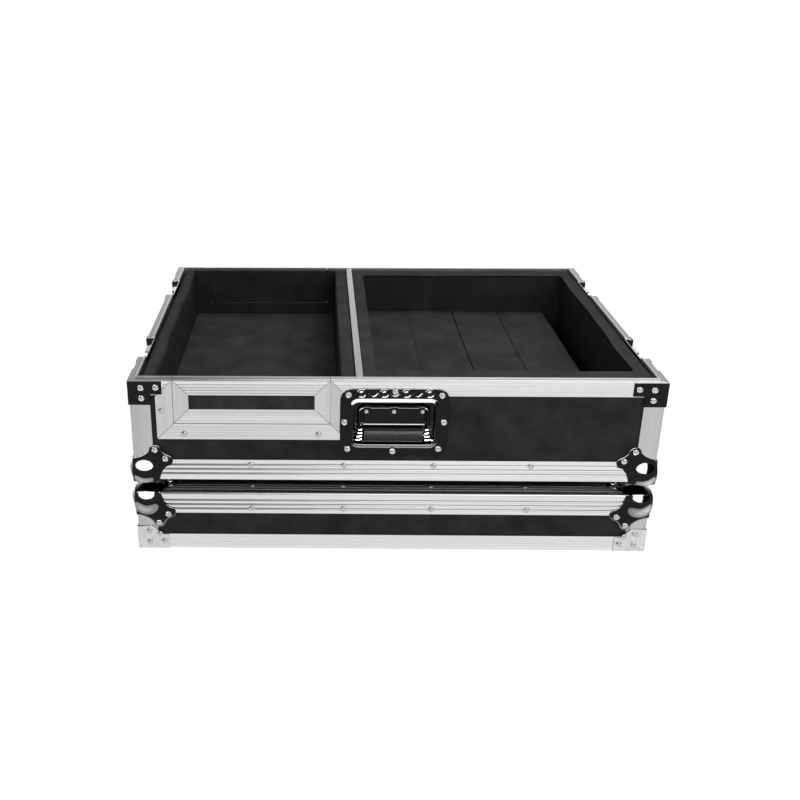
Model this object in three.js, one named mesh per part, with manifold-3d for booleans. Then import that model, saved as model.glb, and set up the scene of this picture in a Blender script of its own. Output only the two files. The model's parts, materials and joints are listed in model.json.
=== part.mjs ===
// Flight case for one turntable and a two-channel mixer, with its tray standing on its lid.
// Millimetres, +Z up, front towards -Y, origin on the floor under the middle of the case.
import * as THREE from 'three';
import { mergeVertices } from 'three/addons/utils/BufferGeometryUtils.js';
import Module from 'manifold-3d';

const wasm = await Module();
wasm.setup();

// Whole case
const caseWidth = 775;
const caseDepth = 591;
const fitGap = 0.3;
const overrun = 5;
const halfTurn = Math.PI;

// Plywood and aluminium edging
const plyThickness = 9;
const edgeThickness = 1.5;
const ribbedLeg = 34.5;
const ribbedRound = 3;
const ribGrooveFirst = 11.9;
const ribGroovePitch = 7.3;
const ribGrooveWidth = 1.6;
const ribGrooveDepth = 0.5;
const ribGrooveCount = 3;
const angleLeg = 30;

// Rim, the same thickness on tray and lid so that they close on each other
const rimThickness = 12;
const rimTopThickness = 3;
const rimInnerFlange = 12;
const tongueStart = 5;
const tongueHeight = 2.5;

// Lid
const lidHeight = 96.5;
const lidRimFace = 25;
const lidFoamThickness = 20;

// Tray
const trayHeight = 161.6;
const trayRimFace = 23;

// Ball corners
const ballRadius = 25;
const ballInset = 14.2;
const petalThickness = 1.5;
const petalReach = 34;
const petalLobeFar = 47;
const petalLobeNear = 32.5;
const petalLobeRadius = 9;

// Top corner brackets of the tray
const bracketThickness = 1.5;
const bracketArmLength = 48;
const bracketArmHeight = 21.5;
const bracketLegWidth = 31;
const bracketHeight = 38;

// Braces on the lid's corners
const braceThickness = 1.5;
const braceWidth = 46.5;
const braceBelowPetals = 1.5;
const braceTopWidth = 23.5;
const braceSlopeEnd = 36;
const braceArmShare = 0.64;

// Bays
const dividerPlace = -52.5;
const dividerThickness = 8;
const capThickness = 0.8;
const capHeight = 18;
const foamBelowRim = 3;
const mixerBedBelowRim = 90;
const mixerLeftFoam = 20.7;
const mixerRightFoam = 22.2;
const deckLeftFoam = 20.1;
const deckRightFoam = 21.2;
const deckFrontFoam = 37.7;
const deckRearFoam = 32.7;
const deckBedBelowRim = 75;
const deckChannelWidth = 30;
const plankCount = 4;
const plankSeamWidth = 1.5;
const plankSeamDepth = 4;

// Lift-out doors of the mixer bay
const doorFromEnd = 63;
const doorFromDivider = 42.5;
const doorHeight = 68;
const doorStrip = 22.5;
const doorSeam = 0.5;
const doorWeb = 2;
const doorTongueReach = 3.5;
const doorTongueThickness = 3.5;
const doorTongueInset = 4.5;
const surroundStrip = 25.2;
const surroundWeb = 5;

// Recessed handle
const handlePlace = -1.7;
const handleHeightShare = 0.595;
const handlePlateBeside = 17.5;
const handlePlateBelow = 15.9;
const handlePlateAbove = 18.6;
const handlePlateRound = 18;
const handlePlateThickness = 1.5;
const tubWidth = 123;
const tubHeight = 72.5;
const tubRound = 8;
const tubDepth = 13.7;
const tubWall = 1.2;
const bailRodRadius = 2.5;
const bailPivotBelow = 16.8;
const bailPivotInset = 8.6;
const bailGripInset = 6.2;
const bailBeside = 7.5;
const gripBelow = 4.2;
const gripBeside = 11;
const gripHeight = 19;
const gripDepth = 12.5;
const gripRound = 4;
const knuckleWall = 1.8;
const knuckleLength = 16;
const knuckleBeside = 8;
const strapThickness = 1.5;
const strapHeight = 14;
const springWire = 1.1;
const springRadius = 4.5;
const springPitch = 4.4;
const springTurns = 4;
const springStart = 7;
const springSteps = 8;
const springSides = 5;

// Butterfly latches
const latchFromCorner = 138;
const dishHalfWidth = 42;
const dishWall = 1.2;
const dishDepth = 11.5;
const dishFlange = 14;
const dishFlangeBelow = 12;
const dishHeight = 60;
const latchHubDrop = 34;
const hookTravel = 12;
const hookHalfWidth = 15;
const hookThickness = 2;
const hookBackGap = 0.5;
const hookTopDrop = 2;
const hookBottomDrop = 54;
const hookLipHeight = 2.8;
const hookLipReach = 6;
const hookLipShoulder = 2;
const spindleRadius = 2.5;
const crankRadius = hookTravel / 2;
const crankPinRadius = 2;
const crankSlack = 1.6;
const hubRadius = 13;
const hubThickness = 3.5;
const earGap = 7.3;
const earWidth = 3;
const earHalfHeight = 3;
const earReach = 3.8;
const wingRadius = 24;
const wingHalfWidth = 21;
const wingThickness = 2.4;
const wingNeck = 4.5;
const wingBarrelRadius = 1.7;
const wingPinRadius = 1;
const wingScallop = 6;
const wingInset = 3;
const railWidth = 3;
const railThickness = 2.9;
const railLength = 36;
const keeperBelowBand = 2;
const catchHeight = 3;
const catchBottom = 1.5;
const catchThickness = 4.4;
const catchGap = 3.2;
const catchPost = 3;
const catchClearance = 4.7;

// Facets
const sphereSegments = 20;
const roundSteps = 4;
const rodSides = 10;
const hubSides = 24;

// Sizes worked out from those above
const halfWidth = caseWidth / 2;
const halfDepth = caseDepth / 2;
const skinInset = edgeThickness + fitGap;
const wallInner = skinInset + plyThickness;
const liningInset = rimThickness + fitGap;
const ballProud = ballRadius - ballInset;
const latchPlace = halfDepth - latchFromCorner;
const braceHeight = lidHeight - petalLobeFar - petalLobeRadius - braceBelowPetals;
const keeperHeight = lidHeight - ribbedLeg - dishFlangeBelow - keeperBelowBand;
const trayBottom = lidHeight + 2 * ballProud + fitGap;
const trayRimHeight = trayBottom + trayHeight;
const trayFloorTop = trayBottom + skinInset + plyThickness;
const bayFloor = trayFloorTop + fitGap;
const capHalfWidth = dividerThickness / 2 + fitGap + capThickness;
const foamTop = trayRimHeight - foamBelowRim;
const mixerBedTop = trayRimHeight - mixerBedBelowRim;
const deckBedTop = trayRimHeight - deckBedBelowRim;
const doorLeft = doorFromEnd - halfWidth;
const doorRight = dividerPlace - doorFromDivider;
const doorBottom = trayRimHeight - doorHeight;
const tubBottom = trayBottom + handleHeightShare * trayHeight - tubHeight / 2;
const tubTop = tubBottom + tubHeight;
const bailPivotHeight = tubTop - bailPivotBelow;
const bailGripDrop = bailPivotHeight - tubBottom - gripBelow - gripHeight / 2;
const bailHalfWidth = tubWidth / 2 - bailBeside;
const gripLength = 2 * (bailHalfWidth - gripBeside);
const knuckleOuter = bailHalfWidth - knuckleBeside;
const knuckleInner = knuckleOuter - knuckleLength;
const hubHeight = trayRimHeight - latchHubDrop;
const dishBottom = trayRimHeight - dishHeight;
const cutHalfWidth = dishHalfWidth + dishWall + fitGap;
const walls = {
  front: { turn: 0, length: halfWidth, reach: halfDepth },
  right: { turn: halfTurn / 2, length: halfDepth, reach: halfWidth },
  rear: { turn: halfTurn, length: halfWidth, reach: halfDepth },
  left: { turn: -halfTurn / 2, length: halfDepth, reach: halfWidth },
};
const corners = {
  front_left: { turn: 0, x: -halfWidth, y: -halfDepth },
  front_right: { turn: halfTurn / 2, x: halfWidth, y: -halfDepth },
  rear_right: { turn: halfTurn, x: halfWidth, y: halfDepth },
  rear_left: { turn: -halfTurn / 2, x: -halfWidth, y: halfDepth },
};

// Closed three.js geometry to a solid that can be cut and joined, and back
function solidOf(geometry) {
  geometry.deleteAttribute('normal');
  geometry.deleteAttribute('uv');
  const merged = mergeVertices(geometry);
  const vertProperties = new Float32Array(merged.attributes.position.array);
  const triVerts = new Uint32Array(merged.index.array);
  return new wasm.Manifold(new wasm.Mesh({ numProp: 3, vertProperties, triVerts }));
}

function geometryOf(solid) {
  const mesh = solid.getMesh();
  const geometry = new THREE.BufferGeometry();
  geometry.setAttribute('position', new THREE.BufferAttribute(mesh.vertProperties, 3));
  geometry.setIndex(new THREE.BufferAttribute(mesh.triVerts, 1));
  geometry.computeVertexNormals();
  return geometry;
}

function join(...solids) {
  return solids.reduce((whole, solid) => whole.add(solid));
}

function cut(solid, ...cutters) {
  return cutters.reduce((whole, cutter) => whole.subtract(cutter), solid);
}

function block(x0, x1, y0, y1, z0, z1) {
  const geometry = new THREE.BoxGeometry(Math.abs(x1 - x0), Math.abs(y1 - y0), Math.abs(z1 - z0));
  geometry.translate((x0 + x1) / 2, (y0 + y1) / 2, (z0 + z1) / 2);
  return solidOf(geometry);
}

// A block against a wall: along runs left to right as seen from outside, inset runs inwards
function wallBlock(side, along0, along1, inset0, inset1, z0, z1) {
  const wall = walls[side];
  const geometry = new THREE.BoxGeometry(along1 - along0, inset1 - inset0, z1 - z0);
  geometry.translate((along0 + along1) / 2, (inset0 + inset1) / 2 - wall.reach, (z0 + z1) / 2);
  geometry.rotateZ(wall.turn);
  return solidOf(geometry);
}

// An outline in x and z, drawn upright and pushed inwards along y
function uprightPlate(shape, y0, y1, steps = roundSteps) {
  const settings = { depth: y1 - y0, bevelEnabled: false, curveSegments: steps };
  const geometry = new THREE.ExtrudeGeometry(shape, settings);
  geometry.rotateX(halfTurn / 2);
  geometry.translate(0, y1, 0);
  return solidOf(geometry);
}

// A round bar along x, y or z through the given middle
function bar(axis, radius, length, x, y, z, sides = rodSides) {
  const geometry = new THREE.CylinderGeometry(radius, radius, length, sides);
  if (axis === 'x') geometry.rotateZ(halfTurn / 2);
  if (axis === 'z') geometry.rotateX(halfTurn / 2);
  geometry.translate(x, y, z);
  return solidOf(geometry);
}

function roundedRectangle(left, right, bottom, top, radius) {
  const shape = new THREE.Shape();
  shape.absarc(right - radius, bottom + radius, radius, -halfTurn / 2, 0);
  shape.absarc(right - radius, top - radius, radius, 0, halfTurn / 2);
  shape.absarc(left + radius, top - radius, radius, halfTurn / 2, halfTurn);
  shape.absarc(left + radius, bottom + radius, radius, halfTurn, 1.5 * halfTurn);
  return shape;
}

// A profile of inset and height points carried round the case with mitred corners
function mitredRing(profile) {
  const signs = [[-1, -1], [1, -1], [1, 1], [-1, 1]];
  const positions = [];
  const index = [];
  for (const [inset, z] of profile) {
    for (const [sx, sy] of signs) {
      positions.push(sx * (halfWidth - inset), sy * (halfDepth - inset), z);
    }
  }
  const count = profile.length;
  for (let j = 0; j < count; j += 1) {
    const next = (j + 1) % count;
    for (let k = 0; k < 4; k += 1) {
      const side = (k + 1) % 4;
      const a = 4 * j + k;
      const b = 4 * j + side;
      const c = 4 * next + side;
      const d = 4 * next + k;
      index.push(a, b, c, a, c, d);
    }
  }
  const geometry = new THREE.BufferGeometry();
  geometry.setAttribute('position', new THREE.Float32BufferAttribute(positions, 3));
  const clockwise = THREE.ShapeUtils.area(profile.map(([x, y]) => ({ x, y }))) < 0;
  geometry.setIndex(clockwise ? index : index.reverse());
  return solidOf(geometry);
}

// Ribbed angle round an outer edge: one leg on the wall, one under or over the panel
function ribbedEdge(level, up) {
  const leg = [];
  for (let n = 0; n < ribGrooveCount; n += 1) {
    const start = ribGrooveFirst + n * ribGroovePitch - ribGrooveWidth / 2;
    const end = start + ribGrooveWidth;
    leg.push([0, start], [ribGrooveDepth, start], [ribGrooveDepth, end], [0, end]);
  }
  const onPanel = leg.map(([depth, along]) => [along, depth]).reverse();
  const round = [];
  for (let n = 0; n <= roundSteps; n += 1) {
    const turn = (n / roundSteps) * halfTurn / 2;
    round.push([ribbedRound * (1 - Math.sin(turn)), ribbedRound * (1 - Math.cos(turn))]);
  }
  const profile = [
    [ribbedLeg, edgeThickness], [ribbedLeg, 0], ...onPanel, ...round, ...leg,
    [0, ribbedLeg], [edgeThickness, ribbedLeg], [edgeThickness, edgeThickness],
  ];
  return mitredRing(profile.map(([inset, along]) => [inset, level + up * along]));
}

// Upright angles on the four corners
function cornerAngles(z0, z1) {
  const pieces = [];
  for (const corner of Object.values(corners)) {
    const sx = Math.sign(corner.x);
    const sy = Math.sign(corner.y);
    const outer = block(corner.x, corner.x - sx * angleLeg, corner.y, corner.y - sy * angleLeg, z0, z1);
    const inner = block(
      corner.x - sx * edgeThickness, corner.x - sx * (angleLeg + overrun),
      corner.y - sy * edgeThickness, corner.y - sy * (angleLeg + overrun), z0 - overrun, z1 + overrun);
    pieces.push(cut(outer, inner));
  }
  return join(...pieces);
}

// Channel that caps the tray's walls, with the raised tongue that enters the lid
function trayRimRing() {
  const flange = rimThickness - edgeThickness - 2 * fitGap - plyThickness;
  const under = trayRimHeight - rimTopThickness;
  return mitredRing([
    [0, trayRimHeight - trayRimFace], [0, trayRimHeight], [tongueStart, trayRimHeight],
    [tongueStart, trayRimHeight + tongueHeight], [rimThickness, trayRimHeight + tongueHeight],
    [rimThickness, trayRimHeight - rimInnerFlange], [rimThickness - flange, trayRimHeight - rimInnerFlange],
    [rimThickness - flange, under], [edgeThickness, under], [edgeThickness, trayRimHeight - trayRimFace],
  ]);
}

// Channel round the lid's open edge, rebated for the tray's tongue
function lidRimRing() {
  const flange = rimThickness - edgeThickness - 2 * fitGap - plyThickness;
  const rebate = tongueHeight + fitGap;
  const over = rebate + rimTopThickness;
  return mitredRing([
    [0, 0], [tongueStart - fitGap, 0], [tongueStart - fitGap, rebate], [rimThickness, rebate],
    [rimThickness, rebate + rimInnerFlange], [rimThickness - flange, rebate + rimInnerFlange],
    [rimThickness - flange, over], [edgeThickness, over], [edgeThickness, lidRimFace], [0, lidRimFace],
  ]);
}

// The stretch of a side rim between its two latch cut-outs, and the cutter that frees it
function rimStretch(ring, side, z0, z1) {
  const reach = latchPlace - cutHalfWidth;
  return ring.intersect(wallBlock(side, -reach, reach, -overrun, rimThickness + overrun, z0, z1));
}

function rimGap(side, z0, z1) {
  const reach = latchPlace + cutHalfWidth;
  return wallBlock(side, -reach, reach, -overrun, rimThickness + overrun, z0, z1);
}

// Plywood cut away behind each latch dish or keeper
function latchCuts(side, z0, z1) {
  return [-latchPlace, latchPlace].map((place) => wallBlock(
    side, place - cutHalfWidth, place + cutHalfWidth, -overrun, dishDepth + dishWall + fitGap, z0, z1));
}

function handleCut(inset0, inset1) {
  const half = tubWidth / 2 + tubWall + fitGap;
  const spare = tubWall + fitGap;
  return wallBlock('front', handlePlace - half, handlePlace + half, inset0, inset1,
    tubBottom - spare, tubTop + spare);
}

// A door sits in the front or rear wall; seen from outside, the rear one is turned end for end
function doorSpan(side, spare) {
  return side === 'front' ? [doorLeft - spare, doorRight + spare] : [-doorRight - spare, -doorLeft + spare];
}

// Fixed strips and webs round a door opening
function doorSurround(side) {
  const seam = doorSeam / 2;
  const [inner0, inner1] = doorSpan(side, seam);
  const [outer0, outer1] = doorSpan(side, surroundStrip);
  const [web0, web1] = doorSpan(side, surroundWeb);
  const sill = doorBottom - seam;
  const bottom = doorBottom - surroundStrip;
  const faceTop = trayRimHeight - trayRimFace + edgeThickness;
  const strips = cut(
    wallBlock(side, outer0, outer1, 0, edgeThickness, bottom, faceTop),
    wallBlock(side, inner0, inner1, -overrun, edgeThickness + overrun, sill, faceTop + overrun));
  const webs = cut(
    wallBlock(side, web0, web1, 0, rimThickness, doorBottom - surroundWeb, trayRimHeight),
    wallBlock(side, inner0, inner1, -overrun, rimThickness + overrun, sill, trayRimHeight + overrun));
  return join(strips, webs);
}

// Opening and slide grooves that a door needs in the edging
function doorOpening(side) {
  const seam = doorSeam / 2;
  const [inner0, inner1] = doorSpan(side, seam);
  const [groove0, groove1] = doorSpan(side, doorTongueReach + fitGap);
  const top = trayRimHeight + tongueHeight + overrun;
  const grooveOuter = doorTongueInset - fitGap;
  const grooveInner = doorTongueInset + doorTongueThickness + fitGap;
  return [
    wallBlock(side, inner0, inner1, -overrun, rimThickness + overrun, doorBottom - seam, top),
    wallBlock(side, groove0, groove1, grooveOuter, grooveInner, doorBottom - seam, top),
  ];
}

function doorFrame(side) {
  const seam = -doorSeam / 2;
  const [left, right] = doorSpan(side, seam);
  const [window0, window1] = doorSpan(side, -doorStrip);
  const [tongue0, tongue1] = doorSpan(side, doorTongueReach - doorSeam / 2);
  const [inner0, inner1] = doorSpan(side, seam - doorWeb);
  const bottom = doorBottom - seam;
  const under = trayRimHeight - rimTopThickness;
  const flange = rimThickness - edgeThickness - 2 * fitGap - plyThickness;
  const face = cut(
    wallBlock(side, left, right, 0, edgeThickness, bottom, trayRimHeight),
    wallBlock(side, window0, window1, -overrun, overrun,
      doorBottom + doorStrip, trayRimHeight - trayRimFace));
  const webs = cut(
    wallBlock(side, left, right, 0, rimThickness, bottom, trayRimHeight),
    wallBlock(side, inner0, inner1, -overrun, rimThickness + overrun, bottom + doorWeb, under));
  const tongueTop = trayRimHeight + tongueHeight;
  const tongue = wallBlock(side, left, right, tongueStart, rimThickness, under, tongueTop);
  const innerFlange = wallBlock(
    side, left, right, rimThickness - flange, rimThickness, trayRimHeight - rimInnerFlange, trayRimHeight);
  const slides = cut(
    wallBlock(side, tongue0, tongue1, doorTongueInset, doorTongueInset + doorTongueThickness, bottom, under),
    wallBlock(side, inner0, inner1, 0, rimThickness, bottom + doorWeb, under));
  return join(face, webs, tongue, innerFlange, slides);
}

function doorPanel(side) {
  const [left, right] = doorSpan(side, -doorSeam / 2 - doorWeb - fitGap);
  return wallBlock(side, left, right, skinInset, wallInner,
    doorBottom + doorSeam / 2 + doorWeb + fitGap, trayRimHeight - rimTopThickness - fitGap);
}

function doorHole(side) {
  const [left, right] = doorSpan(side, surroundWeb + fitGap);
  return wallBlock(side, left, right, -overrun, rimThickness + overrun,
    doorBottom - surroundWeb - fitGap, trayRimHeight + overrun);
}

// Tray walls, floor and divider
function trayWall(side) {
  const long = side === 'front' || side === 'rear';
  const alongEnd = long ? halfWidth - skinInset : halfDepth - wallInner - fitGap;
  const top = trayRimHeight - rimTopThickness - fitGap;
  const board = wallBlock(side, -alongEnd, alongEnd, skinInset, wallInner, bayFloor, top);
  if (side === 'front') return cut(board, doorHole(side), handleCut(-overrun, wallInner + overrun));
  if (side === 'rear') return cut(board, doorHole(side));
  return cut(board, ...latchCuts(side, dishBottom - dishWall - fitGap, top + overrun));
}

function trayFloor() {
  return block(-halfWidth + skinInset, halfWidth - skinInset, -halfDepth + skinInset, halfDepth - skinInset,
    trayBottom + skinInset, trayFloorTop);
}

function divider() {
  const end = halfDepth - liningInset;
  const top = trayRimHeight - capThickness - fitGap;
  const half = dividerThickness / 2;
  const board = block(dividerPlace - half, dividerPlace + half, -end, end, bayFloor, top);
  return cut(board, handleCut(-overrun, tubDepth + tubWall + fitGap));
}

function dividerCap() {
  const end = halfDepth - rimThickness + capThickness / 2;
  const inner = capHalfWidth - capThickness;
  const bottom = trayRimHeight - capHeight;
  return cut(
    block(dividerPlace - capHalfWidth, dividerPlace + capHalfWidth, -end, end, bottom, trayRimHeight),
    block(dividerPlace - inner, dividerPlace + inner, -end - overrun, end + overrun,
      bottom - overrun, trayRimHeight - capThickness));
}

// Foam
function mixerLiner() {
  const left = -halfWidth + liningInset;
  const right = dividerPlace - capHalfWidth - fitGap;
  const end = halfDepth - liningInset;
  const foam = cut(
    block(left, right, -end, end, bayFloor, foamTop),
    block(left + mixerLeftFoam, right - mixerRightFoam, -end - overrun, end + overrun,
      mixerBedTop, foamTop + overrun));
  return cut(foam, ...latchCuts('left', dishBottom - dishWall - fitGap, foamTop + overrun),
    handleCut(-overrun, tubDepth + tubWall + fitGap));
}

const deckLeft = dividerPlace + capHalfWidth + fitGap;
const deckRight = halfWidth - liningInset;
const deckFront = -halfDepth + liningInset;
const deckRear = halfDepth - liningInset;

function turntableLiner() {
  const foam = cut(
    block(deckLeft, deckRight, deckFront, deckRear, bayFloor, foamTop),
    block(deckLeft + deckLeftFoam, deckRight - deckRightFoam,
      deckFront + deckFrontFoam, deckRear - deckRearFoam, bayFloor - overrun, foamTop + overrun));
  return cut(foam, ...latchCuts('right', dishBottom - dishWall - fitGap, foamTop + overrun),
    handleCut(-overrun, tubDepth + tubWall + fitGap));
}

function turntableBed() {
  const left = deckLeft + deckLeftFoam + fitGap;
  const right = deckRight - deckRightFoam - deckChannelWidth;
  const front = deckFront + deckFrontFoam + fitGap;
  const rear = deckRear - deckRearFoam - fitGap;
  const plank = (right - left) / plankCount;
  const seams = [];
  for (let n = 1; n < plankCount; n += 1) {
    const seam = left + n * plank;
    seams.push(block(seam - plankSeamWidth / 2, seam + plankSeamWidth / 2, front - overrun, rear + overrun,
      deckBedTop - plankSeamDepth, deckBedTop + overrun));
  }
  return cut(block(left, right, front, rear, bayFloor, deckBedTop), ...seams);
}

// Aluminium edging of the tray, as one riveted frame
function trayEdging() {
  const rimBottom = trayRimHeight - trayRimFace;
  const top = trayRimHeight + tongueHeight + overrun;
  const gaps = ['left', 'right'].map((side) => rimGap(side, rimBottom - overrun, top));
  const angles = cornerAngles(trayBottom + ribbedLeg / 2, rimBottom + edgeThickness);
  const whole = join(
    ribbedEdge(trayBottom, 1), angles, cut(trayRimRing(), ...gaps),
    doorSurround('front'), doorSurround('rear'), dividerCap());
  const forHandle = handleCut(-overrun, rimThickness + overrun);
  return cut(whole, ...doorOpening('front'), ...doorOpening('rear'), forHandle);
}

function traySideRim(side) {
  const bottom = trayRimHeight - trayRimFace - overrun;
  return rimStretch(trayRimRing(), side, bottom, trayRimHeight + tongueHeight + overrun);
}

// Lid
function lidShell() {
  const outerX = halfWidth - skinInset;
  const outerY = halfDepth - skinInset;
  const top = lidHeight - skinInset;
  const bottom = tongueHeight + rimTopThickness + 2 * fitGap;
  const shell = cut(
    block(-outerX, outerX, -outerY, outerY, bottom, top),
    block(-halfWidth + wallInner, halfWidth - wallInner, -halfDepth + wallInner, halfDepth - wallInner,
      bottom - overrun, top - plyThickness));
  const cutTop = keeperHeight + dishWall + fitGap;
  return cut(shell, ...latchCuts('left', -overrun, cutTop), ...latchCuts('right', -overrun, cutTop));
}

function lidFoam() {
  const x = halfWidth - liningInset;
  const y = halfDepth - liningInset;
  const top = lidHeight - skinInset - plyThickness - fitGap;
  return block(-x, x, -y, y, top - lidFoamThickness, top);
}

function lidEdging() {
  const gaps = ['left', 'right'].map((side) => rimGap(side, -overrun, lidRimFace + overrun));
  const angles = cornerAngles(lidRimFace - edgeThickness, lidHeight - ribbedLeg / 2);
  return join(ribbedEdge(lidHeight, -1), angles, cut(lidRimRing(), ...gaps));
}

function lidSideRim(side) {
  return rimStretch(lidRimRing(), side, -overrun, lidRimFace + overrun);
}

// Ball corner, with the corner of the case at its origin and the case towards +x, +y and +z
function ballCorner() {
  const ball = new THREE.SphereGeometry(ballRadius, sphereSegments, sphereSegments / 2);
  ball.rotateX(halfTurn / 2);
  ball.translate(ballInset, ballInset, ballInset);
  const petal = new THREE.Shape();
  petal.moveTo(0, 0);
  petal.lineTo(petalReach, 0);
  const waist = petalLobeNear - petalLobeRadius;
  petal.quadraticCurveTo(petalReach, waist, petalLobeFar, waist);
  petal.absarc(petalLobeFar, petalLobeNear, petalLobeRadius, -halfTurn / 2, halfTurn / 3);
  petal.absarc(petalLobeNear, petalLobeFar, petalLobeRadius, halfTurn / 6, halfTurn);
  petal.quadraticCurveTo(waist, petalReach, 0, petalReach);
  const settings = { depth: petalThickness, bevelEnabled: false, curveSegments: roundSteps };
  const plate = new THREE.ExtrudeGeometry(petal, settings);
  plate.translate(-petalThickness - fitGap, -petalThickness - fitGap, -petalThickness - fitGap);
  const under = solidOf(plate.clone());
  plate.applyMatrix4(new THREE.Matrix4().set(0, 0, 1, 0, 1, 0, 0, 0, 0, 1, 0, 0, 0, 0, 0, 1));
  const beside = solidOf(plate.clone());
  plate.applyMatrix4(new THREE.Matrix4().set(0, 0, 1, 0, 1, 0, 0, 0, 0, 1, 0, 0, 0, 0, 0, 1));
  const before = solidOf(plate);
  const reach = ballRadius + petalLobeFar + overrun;
  const corner = block(-fitGap, reach, -fitGap, reach, -fitGap, reach);
  return cut(join(solidOf(ball), under, beside, before), corner);
}

// Plates that wrap an upright corner: the same outline on both faces
function wrappedCorner(points, thickness) {
  const outline = (spare) => {
    const shape = new THREE.Shape();
    points.forEach(([x, z], n) => {
      const place = x === 0 ? -spare : x;
      if (n === 0) shape.moveTo(place, z);
      else shape.lineTo(place, z);
    });
    return shape;
  };
  const skin = thickness + fitGap;
  const face = uprightPlate(outline(skin), -skin, -fitGap);
  const side = uprightPlate(outline(skin), -skin, -fitGap);
  const turned = geometryOf(side);
  turned.applyMatrix4(new THREE.Matrix4().set(0, 1, 0, 0, 1, 0, 0, 0, 0, 0, 1, 0, 0, 0, 0, 1));
  const flipped = turned.index.array.slice().reverse();
  turned.setIndex(new THREE.BufferAttribute(flipped, 1));
  return join(face, solidOf(turned));
}

function topBracket() {
  const bottom = trayRimHeight - bracketHeight;
  const armBottom = trayRimHeight - bracketArmHeight;
  return wrappedCorner([
    [0, bottom], [bracketLegWidth, bottom], [bracketLegWidth, armBottom],
    [bracketArmLength, armBottom], [bracketArmLength, trayRimHeight], [0, trayRimHeight],
  ], bracketThickness);
}

function lidBrace() {
  const arm = braceArmShare * braceHeight;
  const shoulder = (arm + braceHeight) / 2;
  return wrappedCorner([
    [0, fitGap], [braceWidth, fitGap], [braceWidth, arm], [braceSlopeEnd, arm],
    [(braceTopWidth + braceSlopeEnd) / 2, shoulder], [braceTopWidth, braceHeight], [0, braceHeight],
  ], braceThickness);
}

// Recessed handle: dish with its strap and two knuckles, bail with its springs, grip
function handleDish() {
  const front = -fitGap - handlePlateThickness;
  const tubLeft = handlePlace - tubWidth / 2;
  const plate = uprightPlate(
    roundedRectangle(tubLeft - handlePlateBeside, tubLeft + tubWidth + handlePlateBeside,
      tubBottom - handlePlateBelow, tubTop + handlePlateAbove, handlePlateRound), front, -fitGap);
  const tub = uprightPlate(
    roundedRectangle(tubLeft - tubWall, tubLeft + tubWidth + tubWall, tubBottom - tubWall, tubTop + tubWall,
      tubRound + tubWall), front, tubDepth + tubWall);
  const hollow = uprightPlate(
    roundedRectangle(tubLeft, tubLeft + tubWidth, tubBottom, tubTop, tubRound), front - overrun, tubDepth);
  const strap = block(handlePlace - knuckleOuter, handlePlace + knuckleOuter,
    tubDepth - strapThickness, tubDepth + tubWall / 2, bailPivotHeight - strapHeight, bailPivotHeight);
  const boreRadius = bailRodRadius + fitGap;
  const boreLength = 2 * (knuckleOuter + overrun);
  const bore = bar('x', boreRadius, boreLength, handlePlace, bailPivotInset, bailPivotHeight);
  const knuckles = [-1, 1].map((end) => bar('x', boreRadius + knuckleWall, knuckleOuter - knuckleInner,
    handlePlace + end * (knuckleInner + knuckleOuter) / 2, bailPivotInset, bailPivotHeight));
  return cut(join(cut(join(plate, tub), hollow), strap, ...knuckles), bore);
}

// A coil of the handle's springs, wound round +z as one unbroken wire
function springMiddle(turns) {
  const angle = turns * 2 * halfTurn;
  const x = springRadius * Math.cos(angle);
  const y = springRadius * Math.sin(angle);
  return new THREE.Vector3(x, y, springPitch * turns);
}

function springCoil() {
  const steps = springTurns * springSteps;
  const positions = [];
  const index = [];
  for (let n = 0; n <= steps; n += 1) {
    const middle = springMiddle(n / springSteps);
    const outward = new THREE.Vector3(middle.x, middle.y, 0).normalize();
    for (let k = 0; k < springSides; k += 1) {
      const turn = k / springSides * 2 * halfTurn;
      const point = middle.clone().addScaledVector(outward, springWire * Math.cos(turn));
      positions.push(point.x, point.y, point.z + springWire * Math.sin(turn));
    }
  }
  for (let n = 0; n < steps; n += 1) {
    for (let k = 0; k < springSides; k += 1) {
      const a = n * springSides + k;
      const b = n * springSides + (k + 1) % springSides;
      index.push(a, a + springSides, b, b, a + springSides, b + springSides);
    }
  }
  const last = steps * springSides;
  for (let k = 1; k < springSides - 1; k += 1) {
    index.push(0, k, k + 1);
    index.push(last, last + k + 1, last + k);
  }
  const geometry = new THREE.BufferGeometry();
  geometry.setAttribute('position', new THREE.Float32BufferAttribute(positions, 3));
  geometry.setIndex(index);
  return geometry;
}

// Least gap between one turn of a spring and the next, measured on points along the wire
function springGap() {
  let least = Infinity;
  for (let n = 0; n <= springTurns * springSteps; n += 1) {
    for (let m = n + springSteps / 2; m <= springTurns * springSteps; m += 1) {
      const apart = springMiddle(n / springSteps).distanceTo(springMiddle(m / springSteps));
      least = Math.min(least, apart - 2 * springWire);
    }
  }
  return least;
}
console.log(`handle springs: least gap between turns ${springGap().toFixed(2)} mm`);

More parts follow.
